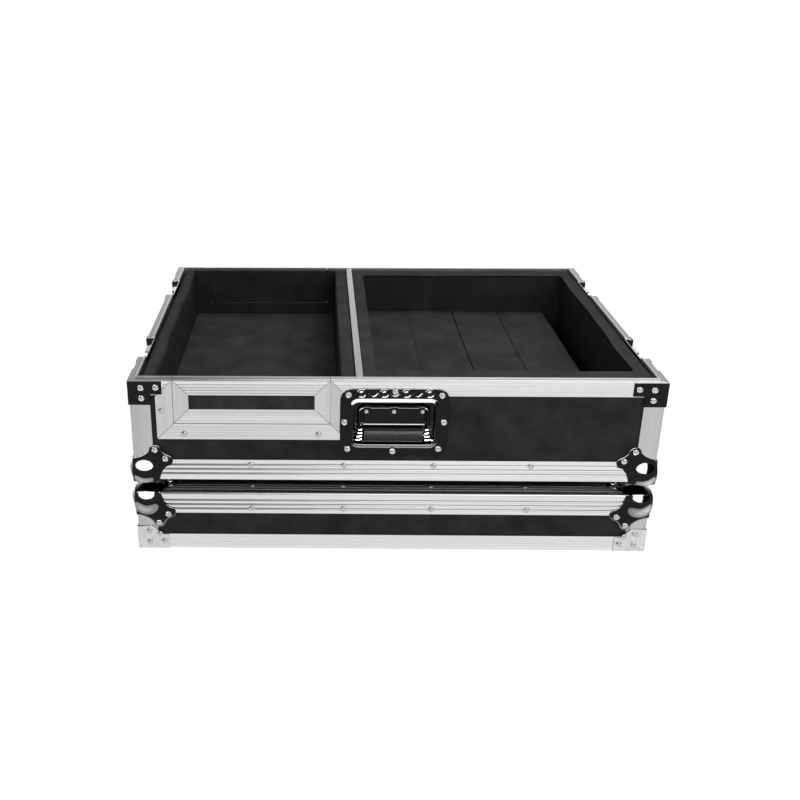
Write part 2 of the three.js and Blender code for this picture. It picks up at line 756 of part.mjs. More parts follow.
function handleBail() {
  const gripLevel = -bailGripDrop;
  const gripInset = bailGripInset - bailPivotInset;
  const armLength = Math.hypot(bailGripDrop, gripInset);
  const lean = Math.atan2(gripInset, bailGripDrop);
  const pieces = [
    bar('x', bailRodRadius, 2 * bailHalfWidth, 0, 0, 0),
    bar('x', bailRodRadius, 2 * bailHalfWidth, 0, gripInset, gripLevel),
  ];
  for (const end of [-1, 1]) {
    const arm = new THREE.CylinderGeometry(bailRodRadius, bailRodRadius, armLength, rodSides);
    arm.rotateX(halfTurn / 2 + lean);
    arm.translate(end * bailHalfWidth, gripInset / 2, gripLevel / 2);
    pieces.push(solidOf(arm));
    for (const [y, z] of [[0, 0], [gripInset, gripLevel]]) {
      const elbow = new THREE.SphereGeometry(bailRodRadius, rodSides, rodSides / 2);
      elbow.translate(end * bailHalfWidth, y, z);
      pieces.push(solidOf(elbow));
    }
    const spring = springCoil();
    spring.rotateX(lean);
    spring.translate(end * bailHalfWidth, gripInset, gripLevel + springStart);
    pieces.push(solidOf(spring));
    const hookMiddle = end * bailHalfWidth + springRadius / 2;
    pieces.push(bar('x', springWire, springRadius, hookMiddle, gripInset, gripLevel + springStart));
  }
  return join(...pieces);
}

function handleGrip() {
  const halfDeep = gripDepth / 2;
  const halfHigh = gripHeight / 2;
  const section = roundedRectangle(-halfDeep, halfDeep, -halfHigh, halfHigh, gripRound);
  const settings = { depth: gripLength, bevelEnabled: false, curveSegments: roundSteps };
  const body = new THREE.ExtrudeGeometry(section, settings);
  body.applyMatrix4(new THREE.Matrix4().set(0, 0, 1, -gripLength / 2, 1, 0, 0, 0, 0, 1, 0, 0, 0, 0, 0, 1));
  const bore = bar('x', bailRodRadius + fitGap, gripLength + 2 * overrun, 0, 0, 0);
  return cut(solidOf(body), bore);
}

// Latch pieces stand at the outer face of a side wall, with the wall inwards along +y.
// The dish keeps its real height; rotor, wing and hook are drawn about the hub's axis.
function latchDish() {
  const outer = dishHalfWidth + dishWall;
  const front = -fitGap - dishWall;
  const tub = block(-outer, outer, front, dishDepth + dishWall, dishBottom - dishWall, trayRimHeight);
  const flange = block(-dishHalfWidth - dishFlange, dishHalfWidth + dishFlange, front, -fitGap,
    dishBottom - dishFlangeBelow, trayRimHeight);
  const hollow = block(-dishHalfWidth, dishHalfWidth, front - overrun, dishDepth,
    dishBottom, trayRimHeight + overrun);
  const railInner = hookHalfWidth + fitGap;
  const railOuter = railInner + railWidth;
  const railBottom = hubHeight - railLength / 2;
  const rails = [-1, 1].map((end) => block(end * railInner, end * railOuter,
    dishDepth - railThickness, dishDepth + dishWall / 2, railBottom, railBottom + railLength));
  return join(cut(join(tub, flange), hollow), ...rails);
}

function latchHook() {
  const back = dishDepth - hookBackGap;
  const top = latchHubDrop - hookTopDrop;
  const front = back - hookThickness;
  const plate = block(-hookHalfWidth, hookHalfWidth, front, back, latchHubDrop - hookBottomDrop, top);
  const lipHalf = hookHalfWidth - hookLipShoulder;
  const lip = block(-lipHalf, lipHalf, back - hookLipReach, back, top - hookLipHeight, top);
  const slotHalf = spindleRadius + fitGap;
  const spindleSlot = block(-slotHalf, slotHalf, front - overrun, back + overrun,
    -2 * crankRadius - slotHalf, slotHalf);
  const crankHalf = crankPinRadius + crankSlack;
  const crankReach = crankRadius + crankPinRadius + fitGap;
  const crankSlot = block(-crankReach, crankReach, front - overrun, back + overrun,
    -crankRadius - crankHalf, -crankRadius + crankHalf);
  return cut(join(plate, lip), spindleSlot, crankSlot);
}

const hubInner = dishDepth - 2 * hookBackGap - hookThickness;
const hubOuter = hubInner - hubThickness;

function latchRotor() {
  const spindleEnd = dishDepth - fitGap;
  const hub = bar('y', hubRadius, hubThickness, 0, (hubInner + hubOuter) / 2, 0, hubSides);
  const spindle = bar('y', spindleRadius, spindleEnd - hubOuter, 0, (spindleEnd + hubOuter) / 2, 0);
  const crankEnd = hubInner + hookBackGap + hookThickness;
  const crank = bar('y', crankPinRadius, crankEnd - hubOuter, 0, (crankEnd + hubOuter) / 2, -crankRadius);
  const ears = [-1, 1].map((end) => block(end * earGap, end * (earGap + earWidth),
    hubOuter - earReach, hubInner - hubThickness / 2, -earHalfHeight, earHalfHeight));
  const pinBore = bar('x', wingPinRadius + fitGap, 2 * (earGap + earWidth + overrun), 0, wingInset, 0);
  return cut(join(hub, spindle, crank, ...ears), pinBore);
}

function latchWing() {
  const outer = wingInset - wingThickness / 2;
  const inner = wingInset + wingThickness / 2;
  const lobes = new THREE.Shape();
  lobes.absarc(0, 0, wingRadius, halfTurn, 2 * halfTurn);
  const plate = uprightPlate(lobes, outer, inner, 3 * roundSteps);
  const trimmed = cut(plate,
    block(-wingRadius, wingRadius, -overrun, hubInner, -wingNeck, overrun),
    block(wingHalfWidth, wingRadius + overrun, -overrun, hubInner, -wingRadius, overrun),
    block(-wingHalfWidth, -wingRadius - overrun, -overrun, hubInner, -wingRadius, overrun),
    bar('y', wingScallop, hubInner + overrun, 0, wingInset, -wingRadius - wingScallop / 2, hubSides));
  const neckHalf = earGap - fitGap;
  const neck = block(-neckHalf, neckHalf, outer, inner, -wingNeck - wingThickness, 0);
  const barrel = bar('x', wingBarrelRadius, 2 * neckHalf, 0, wingInset, 0);
  const pin = bar('x', wingPinRadius, 2 * (earGap + earWidth - fitGap), 0, wingInset, 0);
  return join(trimmed, neck, barrel, pin);
}

function latchKeeper() {
  const outer = dishHalfWidth + dishWall;
  const front = -fitGap - dishWall;
  const tub = block(-outer, outer, front, dishDepth + dishWall, fitGap, keeperHeight + dishWall);
  const flange = block(-dishHalfWidth - dishFlange, dishHalfWidth + dishFlange, front, -fitGap,
    fitGap, keeperHeight + dishFlangeBelow);
  const hollow = block(-dishHalfWidth, dishHalfWidth, front - overrun, dishDepth, -overrun, keeperHeight);
  const catchHalf = hookHalfWidth + catchClearance + catchPost;
  const barBack = dishDepth - catchGap;
  const catchTop = catchBottom + catchHeight;
  const catchBar = block(-catchHalf, catchHalf, barBack - catchThickness, barBack, catchBottom, catchTop);
  const posts = [-1, 1].map((end) => block(end * (catchHalf - catchPost), end * catchHalf,
    barBack - catchThickness / 2, dishDepth + dishWall / 2, catchBottom, catchTop));
  return join(cut(join(tub, flange), hollow), catchBar, ...posts);
}

// Materials
const aluminium = new THREE.MeshStandardMaterial({ color: 0xcfcfd0, roughness: 0.38, metalness: 1 });
const laminate = new THREE.MeshStandardMaterial({ color: 0x232324, roughness: 0.62, metalness: 0 });
const chrome = new THREE.MeshStandardMaterial({ color: 0x8d8f93, roughness: 0.14, metalness: 1 });
const galvanised = new THREE.MeshStandardMaterial({ color: 0xd3d3d4, roughness: 0.45, metalness: 1 });
const foam = new THREE.MeshStandardMaterial({ color: 0x1d1d1e, roughness: 0.95, metalness: 0 });
const rubber = new THREE.MeshStandardMaterial({ color: 0x161617, roughness: 0.7, metalness: 0 });

const flightCase = new THREE.Group();

function addPiece(parent, name, solid, material) {
  const mesh = new THREE.Mesh(geometryOf(solid), material);
  mesh.name = name;
  parent.add(mesh);
  return mesh;
}

// Lid and tray
addPiece(flightCase, 'lid_shell', lidShell(), laminate);
addPiece(flightCase, 'lid_foam', lidFoam(), foam);
addPiece(flightCase, 'lid_edging', lidEdging(), aluminium);
for (const side of ['front', 'rear', 'left', 'right']) {
  addPiece(flightCase, `tray_${side}_wall`, trayWall(side), laminate);
}
addPiece(flightCase, 'tray_floor', trayFloor(), laminate);
addPiece(flightCase, 'tray_edging', trayEdging(), aluminium);
addPiece(flightCase, 'divider', divider(), laminate);
addPiece(flightCase, 'mixer_bay_liner', mixerLiner(), foam);
addPiece(flightCase, 'turntable_bay_liner', turntableLiner(), foam);
addPiece(flightCase, 'turntable_bed', turntableBed(), foam);
for (const side of ['left', 'right']) {
  addPiece(flightCase, `lid_${side}_rim`, lidSideRim(side), aluminium);
  addPiece(flightCase, `tray_${side}_rim`, traySideRim(side), aluminium);
}
for (const side of ['front', 'rear']) {
  addPiece(flightCase, `${side}_door_frame`, doorFrame(side), aluminium);
  addPiece(flightCase, `${side}_door_panel`, doorPanel(side), laminate);
}

// Corner hardware
for (const [name, corner] of Object.entries(corners)) {
  const group = new THREE.Group();
  group.position.set(corner.x, corner.y, 0);
  group.rotation.z = corner.turn;
  const trayBall = addPiece(group, `tray_ball_corner_${name}`, ballCorner(), chrome);
  trayBall.position.z = trayBottom;
  const lidBall = addPiece(group, `lid_ball_corner_${name}`, ballCorner(), chrome);
  lidBall.position.z = lidHeight;
  lidBall.quaternion.setFromAxisAngle(new THREE.Vector3(1, 1, 0).normalize(), halfTurn);
  addPiece(group, `tray_bracket_${name}`, topBracket(), chrome);
  addPiece(group, `lid_brace_${name}`, lidBrace(), galvanised);
  flightCase.add(group);
}

// Handle
const handle = new THREE.Group();
handle.position.set(0, -halfDepth, 0);
addPiece(handle, 'handle_dish', handleDish(), chrome);
const bail = addPiece(handle, 'handle_bail', handleBail(), chrome);
bail.position.set(handlePlace, bailPivotInset, bailPivotHeight);
const grip = addPiece(handle, 'handle_grip', handleGrip(), rubber);
grip.position.set(handlePlace, bailGripInset, bailPivotHeight - bailGripDrop);
flightCase.add(handle);

// Latches and keepers
for (const side of ['left', 'right']) {
  for (const end of ['front', 'rear']) {
    const group = new THREE.Group();
    const x = side === 'left' ? -halfWidth : halfWidth;
    group.position.set(x, end === 'front' ? -latchPlace : latchPlace, 0);
    group.rotation.z = walls[side].turn;
    addPiece(group, `latch_dish_${end}_${side}`, latchDish(), chrome);
    addPiece(group, `latch_keeper_${end}_${side}`, latchKeeper(), chrome);
    for (const [part, solid] of [['hook', latchHook()], ['rotor', latchRotor()], ['wing', latchWing()]]) {
      addPiece(group, `latch_${part}_${end}_${side}`, solid, chrome).position.z = hubHeight;
    }
    flightCase.add(group);
  }
}

export default flightCase;
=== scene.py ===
import json
import math

import bmesh
import bpy
from mathutils import Matrix, Vector, noise

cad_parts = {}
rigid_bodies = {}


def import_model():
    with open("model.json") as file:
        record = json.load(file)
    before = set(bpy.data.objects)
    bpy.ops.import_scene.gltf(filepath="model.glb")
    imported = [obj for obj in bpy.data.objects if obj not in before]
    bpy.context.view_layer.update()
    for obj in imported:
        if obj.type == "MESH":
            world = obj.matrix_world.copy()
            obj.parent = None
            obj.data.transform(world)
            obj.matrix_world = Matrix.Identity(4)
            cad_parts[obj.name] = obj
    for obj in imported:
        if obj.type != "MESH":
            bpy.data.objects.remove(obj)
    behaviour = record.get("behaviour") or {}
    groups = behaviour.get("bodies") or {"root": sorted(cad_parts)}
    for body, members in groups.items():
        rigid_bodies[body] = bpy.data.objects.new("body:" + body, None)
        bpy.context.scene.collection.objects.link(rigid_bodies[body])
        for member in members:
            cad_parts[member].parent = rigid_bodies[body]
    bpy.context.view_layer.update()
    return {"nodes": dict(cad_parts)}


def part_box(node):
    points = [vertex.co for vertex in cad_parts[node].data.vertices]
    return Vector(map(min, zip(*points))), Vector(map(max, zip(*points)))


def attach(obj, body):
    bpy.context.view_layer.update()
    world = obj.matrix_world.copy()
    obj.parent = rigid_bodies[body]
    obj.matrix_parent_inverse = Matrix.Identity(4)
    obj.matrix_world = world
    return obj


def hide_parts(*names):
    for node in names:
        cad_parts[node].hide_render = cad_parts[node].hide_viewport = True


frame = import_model()

# Camera: in front of the case and a little above it, looking down, as the photograph was
# taken. The sensor is shifted, because the case lies to one side of the picture's middle.
picture_pixels = 800
focal_pixels = 1012.1
axis_pixels = Vector((296.3, 402.5))
camera_place = Vector((-0.1165, -1.6422, 0.8321))
camera_yaw, camera_pitch, camera_roll = (math.radians(turn) for turn in (1.19, -23.5, 0.2))
level_to_camera = math.radians(90)

camera_data = bpy.data.cameras.new("camera")
camera_data.sensor_width = 36
camera_data.lens = camera_data.sensor_width * focal_pixels / picture_pixels
camera_data.shift_x = 0.5 - axis_pixels.x / picture_pixels
camera_data.shift_y = axis_pixels.y / picture_pixels - 0.5
camera = bpy.data.objects.new("camera", camera_data)
camera.matrix_world = (
    Matrix.Translation(camera_place)
    @ Matrix.Rotation(camera_yaw, 4, "Z")
    @ Matrix.Rotation(camera_pitch, 4, "X")
    @ Matrix.Rotation(camera_roll, 4, "Y")
    @ Matrix.Rotation(level_to_camera, 4, "X")
)
bpy.context.scene.collection.objects.link(camera)
bpy.context.scene.camera = camera
bpy.context.scene.view_settings.view_transform = "Standard"

# Studio: a pale floor under a white room. The eye sees the room white all over, and mirrors
# see its pale backdrop behind the case and a dim ceiling. Matt surfaces are lit by the room at
# part strength, a large soft lamp above and right of the camera, one at the left and one on top.
floor_radius = 9
floor_sides = 64
floor_colour = (0.3, 0.3, 0.3, 1)
floor_glow = 0.92
room_light = 0.24
ceiling_light = 0.14
backdrop_light = 1
backdrop_turn = (-0.25, 0.25)
backdrop_top = (0.62, 0.2)
lamp_target = Vector((0, -0.2, 0.15))
lamps = {
    "key": {"place": (0.75, -1.55, 1.4), "size": (2.2, 1.5), "power": 26},
    "fill": {"place": (-1.9, -0.9, 1.5), "size": (1.2, 1.2), "power": 4},
    "top": {"place": (0.8, 0.6, 2.2), "size": (1.6, 1.2), "power": 13},
}


def maths(tree, operation, first, second):
    """A maths node on one socket and on a second socket or a number."""
    node = tree.nodes.new("ShaderNodeMath")
    node.operation = operation
    tree.links.new(first, node.inputs[0])
    if isinstance(second, bpy.types.NodeSocket):
        tree.links.new(second, node.inputs[1])
    else:
        node.inputs[1].default_value = second
    return node.outputs[0]


def mapped(tree, value, **ends):
    """A map range node on a socket, with its ends named as in from_min or to_max."""
    node = tree.nodes.new("ShaderNodeMapRange")
    for end, number in ends.items():
        node.inputs[end.replace("_", " ").title()].default_value = number
    tree.links.new(value, node.inputs["Value"])
    return node


def seen_directly(tree):
    """One for rays that come from the eye or a mirror, nothing for those that carry light."""
    path = tree.nodes.new("ShaderNodeLightPath")
    total = path.outputs["Is Camera Ray"]
    for kind in ("Is Glossy Ray", "Is Transmission Ray"):
        total = maths(tree, "MAXIMUM", total, path.outputs[kind])
    return total


world = bpy.data.worlds.new("room")
bpy.context.scene.world = world
world.use_nodes = True
tree = world.node_tree
look = tree.nodes.new("ShaderNodeTexCoord")
direction = tree.nodes.new("ShaderNodeSeparateXYZ")
tree.links.new(look.outputs["Generated"], direction.inputs["Vector"])
shares = []
for axis, (dim, bright) in (("Y", backdrop_turn), ("Z", backdrop_top)):
    share = mapped(tree, direction.outputs[axis], from_min=dim, from_max=bright)
    share.interpolation_type = "SMOOTHSTEP"
    shares.append(share.outputs["Result"])
room_seen = mapped(tree, maths(tree, "MULTIPLY", *shares), to_min=ceiling_light, to_max=backdrop_light)
path = tree.nodes.new("ShaderNodeLightPath")
to_the_eye = maths(tree, "MAXIMUM", path.outputs["Is Camera Ray"], room_seen.outputs["Result"])
strength = mapped(tree, seen_directly(tree), to_min=room_light)
tree.links.new(to_the_eye, strength.inputs["To Max"])
room = tree.nodes["Background"]
room.inputs["Color"].default_value = (1, 1, 1, 1)
tree.links.new(strength.outputs["Result"], room.inputs["Strength"])

floor_shape = bmesh.new()
bmesh.ops.create_circle(floor_shape, cap_ends=True, segments=floor_sides, radius=floor_radius)
floor_mesh = bpy.data.meshes.new("floor")
floor_shape.to_mesh(floor_mesh)
floor_shape.free()
floor = bpy.data.objects.new("floor", floor_mesh)
bpy.context.scene.collection.objects.link(floor)
floor_paint = bpy.data.materials.new("floor_paint")
floor_paint.use_nodes = True
tree = floor_paint.node_tree
paint = tree.nodes["Principled BSDF"]
paint.inputs["Base Color"].default_value = floor_colour
paint.inputs["Roughness"].default_value = 1
paint.inputs["Specular IOR Level"].default_value = 0
paint.inputs["Emission Color"].default_value = (1, 1, 1, 1)
glow = maths(tree, "MULTIPLY", seen_directly(tree), floor_glow)
tree.links.new(glow, paint.inputs["Emission Strength"])
floor_mesh.materials.append(floor_paint)


def soft_lamp(name, place, size, power, aim):
    """A rectangular lamp, unseen by the eye, that shines along aim."""
    light = bpy.data.lights.new(name, "AREA")
    light.shape = "RECTANGLE"
    light.size, light.size_y = size
    light.energy = power
    holder = bpy.data.objects.new(name, light)
    holder.location = place
    holder.visible_camera = False
    holder.rotation_euler = Vector(aim).to_track_quat("-Z", "Y").to_euler()
    bpy.context.scene.collection.objects.link(holder)
    return holder


for lamp_name, lamp in lamps.items():
    soft_lamp(lamp_name, lamp["place"], lamp["size"], lamp["power"], lamp_target - Vector(lamp["place"]))

# Panels: 9 mm plywood faced with black laminate, whose fine pebbled print is faintly blotchy.
# They sit in the aluminium edging, so only their faces show.
laminate_dark = (0.009, 0.009, 0.0095)
laminate_pale = (0.034, 0.034, 0.035)
door_laminate_tone = 1.5
laminate_roughness = (0.42, 0.56)
laminate_relief = 0.00009
laminate_shine = 0.12
per_metre = {"blotch": 26, "pebble": 1100}


def new_finish(name, colour, metallic, roughness, shine=0.5):
    """A material of one colour; shine is how much it reflects where it isn't metal."""
    finish = bpy.data.materials.new(name)
    finish.use_nodes = True
    shader = finish.node_tree.nodes["Principled BSDF"]
    shader.inputs["Base Color"].default_value = (*colour, 1)
    shader.inputs["Metallic"].default_value = metallic
    shader.inputs["Roughness"].default_value = roughness
    shader.inputs["Specular IOR Level"].default_value = shine
    return finish


def pattern(finish, scale, detail=3, cells=False):
    """Noise, or cells, that lies in the piece's own coordinates; scale is repeats in a metre."""
    tree = finish.node_tree
    place = tree.nodes.new("ShaderNodeTexCoord")
    mapping = tree.nodes.new("ShaderNodeMapping")
    mapping.inputs["Scale"].default_value = scale if isinstance(scale, tuple) else (scale,) * 3
    tree.links.new(place.outputs["Object"], mapping.inputs["Vector"])
    if cells:
        texture = tree.nodes.new("ShaderNodeTexVoronoi")
        output = texture.outputs["Color"]
    else:
        texture = tree.nodes.new("ShaderNodeTexNoise")
        texture.inputs["Detail"].default_value = detail
        output = texture.outputs["Fac"]
    texture.inputs["Scale"].default_value = 1
    tree.links.new(mapping.outputs["Vector"], texture.inputs["Vector"])
    return output


def vary_colour(finish, source, dark, pale, low=0.3, high=0.7):
    tree = finish.node_tree
    ramp = tree.nodes.new("ShaderNodeValToRGB")
    ramp.color_ramp.elements[0].position = low
    ramp.color_ramp.elements[0].color = (*dark, 1)
    ramp.color_ramp.elements[1].position = high
    ramp.color_ramp.elements[1].color = (*pale, 1)
    tree.links.new(source, ramp.inputs["Fac"])
    tree.links.new(ramp.outputs["Color"], tree.nodes["Principled BSDF"].inputs["Base Color"])


def vary_roughness(finish, source, smooth, rough, low=0.3, high=0.7):
    tree = finish.node_tree
    span = mapped(tree, source, from_min=low, from_max=high, to_min=smooth, to_max=rough)
    tree.links.new(span.outputs["Result"], tree.nodes["Principled BSDF"].inputs["Roughness"])


def add_relief(finish, source, height):
    """Bumps of that height in metres, on top of any that the finish has already."""
    tree = finish.node_tree
    normal = tree.nodes["Principled BSDF"].inputs["Normal"]
    bump = tree.nodes.new("ShaderNodeBump")
    bump.inputs["Distance"].default_value = height
    if normal.is_linked:
        tree.links.new(normal.links[0].from_socket, bump.inputs["Normal"])
    tree.links.new(source, bump.inputs["Height"])
    tree.links.new(bump.outputs["Normal"], normal)


def laminate_finish(name, tone):
    """The laminate's look; tone makes all of it darker or paler."""
    dark, pale = (tuple(tone * c for c in colour) for colour in (laminate_dark, laminate_pale))
    finish = new_finish(name, pale, 0, laminate_roughness[1], laminate_shine)
    blotches = pattern(finish, per_metre["blotch"], detail=5)
    pebbles = pattern(finish, per_metre["pebble"], detail=2)
    vary_colour(finish, blotches, dark, pale)
    vary_roughness(finish, blotches, *laminate_roughness)
    add_relief(finish, pebbles, laminate_relief)
    return finish


laminate = laminate_finish("black_laminate", 1)
door_laminate = laminate_finish("door_laminate", door_laminate_tone)


def dress(node, finish):
    """Gives a CAD piece its finish."""
    frame["nodes"][node].material_slots[0].material = finish


for panel in ("lid_shell", "tray_floor", "divider"):
    dress(panel, laminate)
for panel in ("front_door_panel", "rear_door_panel"):
    dress(panel, door_laminate)
for side in ("front", "rear", "left", "right"):
    dress(f"tray_{side}_wall", laminate)

# Ribbed edging: aluminium angle along the tray's bottom edges and the lid's top edges. It is
# extruded with three soft grooves in each leg, sawn at 45 degrees and riveted to the plywood.
mm = 0.001
sheet = 1.5 * mm
ribbed_leg = 34.5 * mm
ribbed_round = 3 * mm
groove_places = [11.9 * mm, 19.2 * mm, 26.5 * mm]
groove_width = 4.4 * mm
groove_depth = 1.1 * mm
groove_steps = 6
leg_end_round = 0.4 * mm
arc_steps = 5
aluminium_colour = (0.7, 0.7, 0.71)
dull_share = 0.86
aluminium_roughness = (0.24, 0.36)
brush_across, brush_along = 1500, 3
streak_across, streak_along = 90, 1.5
brush_relief = 0.000006
# painted shade: how much darker the aluminium is painted deep in its grooves
groove_painted_shade = 0.5
mitre_gap = 0.2 * mm
cut_tolerance, merge_distance = 1e-7, 1e-6

tray_low, tray_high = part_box("tray_edging")
_, lid_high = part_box("lid_edging")
half_width, half_depth = tray_high.x, tray_high.y
tray_bottom = tray_low.z
lid_top = lid_high.z
walls = {
    "front": (0, half_depth, half_width),
    "right": (math.radians(90), half_width, half_depth),
    "rear": (math.radians(180), half_depth, half_width),
    "left": (math.radians(-90), half_width, half_depth),
}


def rounded(corners, steps=arc_steps):
    """An outline of (u, v) or (u, v, radius) corners, with each given radius as an arc."""
    points = []
    for n, (u, v, *radius) in enumerate(corners):
        corner = Vector((u, v))
        if not radius:
            points.append(corner)
            continue
        before = (Vector(corners[n - 1][:2]) - corner).normalized()
        after = (Vector(corners[(n + 1) % len(corners)][:2]) - corner).normalized()
        half = before.angle(after) / 2
        centre = corner + (before + after).normalized() * radius[0] / math.sin(half)
        start = corner + before * radius[0] / math.tan(half) - centre
        turn = start.angle_signed(corner + after * radius[0] / math.tan(half) - centre)
        for k in range(steps + 1):
            points.append(centre + Matrix.Rotation(-turn * k / steps, 2) @ start)
    return points


axes = {
    "x": lambda place, u, v: (place, u, v),
    "y": lambda place, u, v: (u, place, v),
    "z": lambda place, u, v: (u, v, place),
}


def extruded(outline, axis, start, end):
    """A solid of one outline, drawn across that axis, from start to end."""
    shape = bmesh.new()
    face = shape.faces.new([shape.verts.new(axes[axis](start, u, v)) for u, v in outline])
    made = bmesh.ops.extrude_face_region(shape, geom=[face], use_keep_orig=True)
    moved = [v for v in made["geom"] if isinstance(v, bmesh.types.BMVert)]
    bmesh.ops.translate(shape, verts=moved, vec=axes[axis](end - start, 0, 0))
    return shape


def scale_colour(finish, value, at_none, at_full):
    """Makes a finish darker or paler by a value that runs from 0 to 1."""
    tree = finish.node_tree
    base = tree.nodes["Principled BSDF"].inputs["Base Color"]
    share = mapped(tree, value, to_min=at_none, to_max=at_full)
    scale = tree.nodes.new("ShaderNodeVectorMath")
    scale.operation = "SCALE"
    tree.links.new(base.links[0].from_socket, scale.inputs[0])
    tree.links.new(share.outputs["Result"], scale.inputs["Scale"])
    tree.links.new(scale.outputs["Vector"], base)


def shaded(shape, painted_shade_of):
    """Notes at each point a value from 0 to 1, mostly how far it lies down in a groove; the aluminium paints
    it as shade.
    """
    layer = shape.verts.layers.float.new("hollow")
    for v in shape.verts:
        v[layer] = painted_shade_of(v.co)
    return shape


def saw(shape, place, normal):
    """Cuts off what lies beyond a plane, on the side its normal points to, and closes the end."""
    everything = list(shape.verts) + list(shape.edges) + list(shape.faces)
    made = bmesh.ops.bisect_plane(
        shape, geom=everything, dist=cut_tolerance, plane_co=place, plane_no=normal, clear_outer=True)
    ring = [e for e in made["geom_cut"] if isinstance(e, bmesh.types.BMEdge)]
    bmesh.ops.edgeloop_fill(shape, edges=ring)
    return shape


def mitre(shape, place, normal):
    """Saws an end a hair short of the plane, so that the joint shows as a fine line."""
    return saw(shape, Vector(place) - mitre_gap * Vector(normal), normal)


def merged(*shapes):
    """Several shapes as one, each still closed by itself."""
    whole = bmesh.new()
    for shape in shapes:
        mesh = bpy.data.meshes.new("part")
        shape.to_mesh(mesh)
        shape.free()
        whole.from_mesh(mesh)
        bpy.data.meshes.remove(mesh)
    return whole


def on_wall(shape, side):
    """Takes a shape drawn for the front, with y as the depth behind its face, to its wall."""
    turn, reach, _ = walls[side]
    bmesh.ops.translate(shape, verts=shape.verts, vec=(0, -reach, 0))
    bmesh.ops.rotate(shape, verts=shape.verts, matrix=Matrix.Rotation(turn, 3, "Z"))
    return shape


def upside_down(shape, middle):
    """Mirrors a shape about a level."""
    bmesh.ops.scale(shape, verts=shape.verts, vec=(1, 1, -1))
    bmesh.ops.translate(shape, verts=shape.verts, vec=(0, 0, 2 * middle))
    return shape


def piece(name, shape, finish, body, slot, *nodes, crease=35):
    """Makes the finished piece: closed, smooth across soft edges, and riding on its body."""
    bmesh.ops.remove_doubles(shape, verts=shape.verts, dist=merge_distance)
    bmesh.ops.recalc_face_normals(shape, faces=shape.faces)
    mesh = bpy.data.meshes.new(name)
    shape.to_mesh(mesh)
    shape.free()
    mesh.shade_smooth()
    mesh.set_sharp_from_angle(angle=math.radians(crease))
    mesh.materials.append(finish)
    made = bpy.data.objects.new(name, mesh)
    bpy.context.scene.collection.objects.link(made)
    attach(made, body)
    if nodes:
        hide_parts(*nodes)
    return made


def aluminium(name, along, tone=1.0):
    """Extruded aluminium, brushed along one axis; tone sets one extrusion off from another and paints the
    upright ones darker as shade. Its hollow attribute adds painted shade.
    """
    fine = tuple(brush_along if axis == along else brush_across for axis in "xyz")
    broad = tuple(streak_along if axis == along else streak_across for axis in "xyz")
    bright = tuple(tone * c for c in aluminium_colour)
    dull = tuple(dull_share * c for c in bright)
    finish = new_finish(name, bright, 1, aluminium_roughness[0])
    streaks = pattern(finish, broad, detail=6)
    brushing = pattern(finish, fine, detail=4)
    vary_colour(finish, streaks, dull, bright)
    vary_roughness(finish, brushing, *aluminium_roughness)
    add_relief(finish, brushing, brush_relief)
    # painted shade: the colour is darker where the piece's hollow attribute is high, in grooves and on the
    # rim's ledge
    hollow = finish.node_tree.nodes.new("ShaderNodeAttribute")
    hollow.attribute_name = "hollow"
    scale_colour(finish, hollow.outputs["Fac"], 1, 1 - groove_painted_shade)
    return finish


aluminium_of_wall = {
    "front": aluminium("aluminium_crosswise", "x"),
    "left": aluminium("aluminium_lengthwise", "y"),
}
aluminium_of_wall["rear"] = aluminium_of_wall["front"]
aluminium_of_wall["right"] = aluminium_of_wall["left"]


def dips(places, width, depth):
    """Points (along, depth) of soft grooves in a flat face."""
    points = []
    for place in places:
        for k in range(groove_steps + 1):
            share = k / groove_steps
            along = place + (share - 0.5) * width
            points.append((along, depth * (1 - math.cos(2 * math.pi * share)) / 2))
    return points


on_panel = dips(groove_places, groove_width, groove_depth)
on_face = [(depth, place) for place, depth in on_panel]
ribbed_profile = rounded([
    (sheet, sheet), (ribbed_leg, sheet, leg_end_round), (ribbed_leg, 0, leg_end_round),
    *reversed(on_panel), (0, 0, ribbed_round), *on_face,
    (0, ribbed_leg, leg_end_round), (sheet, ribbed_leg, leg_end_round)])


def mitred_length(profile, side, painted_shade_of=None):
    """A length of edging for a whole wall, sawn at 45 degrees at both corners of the case."""
    _, _, reach = walls[side]
    shape = extruded(profile, "x", -reach, reach)
    for end in (-1, 1):
        mitre(shape, (end * reach, 0, 0), (end, 1, 0))
    if painted_shade_of:
        shaded(shape, painted_shade_of)
    return on_wall(shape, side)


def rib_painted_shade(level):
    """How deep a point lies in the grooves of ribbed edging whose corner is at that level, as a share of
    painted shade.
    """
    def depth(place):
        deep, high = place.y, place.z - level
        if high > ribbed_round and deep < sheet:
            return deep / groove_depth
        if deep > ribbed_round and high < sheet:
            return high / groove_depth
        return 0
    return depth


def raised(profile, level):
    """The same outline at another height."""
    return [(u, v + level) for u, v in profile]


for side in walls:
    finish = aluminium_of_wall[side]
    length = mitred_length(raised(ribbed_profile, tray_bottom), side, rib_painted_shade(tray_bottom))
    piece(f"tray_{side}_ribbed_edging", length, finish, "tray", "edge_aluminium", "tray_edging")
    length = mitred_length(raised(ribbed_profile, 0), side, rib_painted_shade(0))
    upside_down(length, lid_top / 2)
    piece(f"lid_{side}_ribbed_edging", length, finish, "lid", "edge_aluminium", "lid_edging")

# Corner angles: plain aluminium angle up each corner of the tray and of the lid, brushed
# lengthwise. Its ends run under the ball corners and the corner plates.
angle_leg = 30 * mm
rim_face = 23 * mm
lid_rim_face = 25 * mm
tongue_rise = 2.5 * mm
rim_level = tray_high.z - tongue_rise
angle_ends = {
    "tray": (tray_bottom + ribbed_leg, rim_level - rim_face),
    "lid": (lid_rim_face, lid_top - ribbed_leg),
}
corner_signs = {
    "front_left": (1, 1),
    "front_right": (-1, 1),
    "rear_right": (-1, -1),
    "rear_left": (1, -1),
}
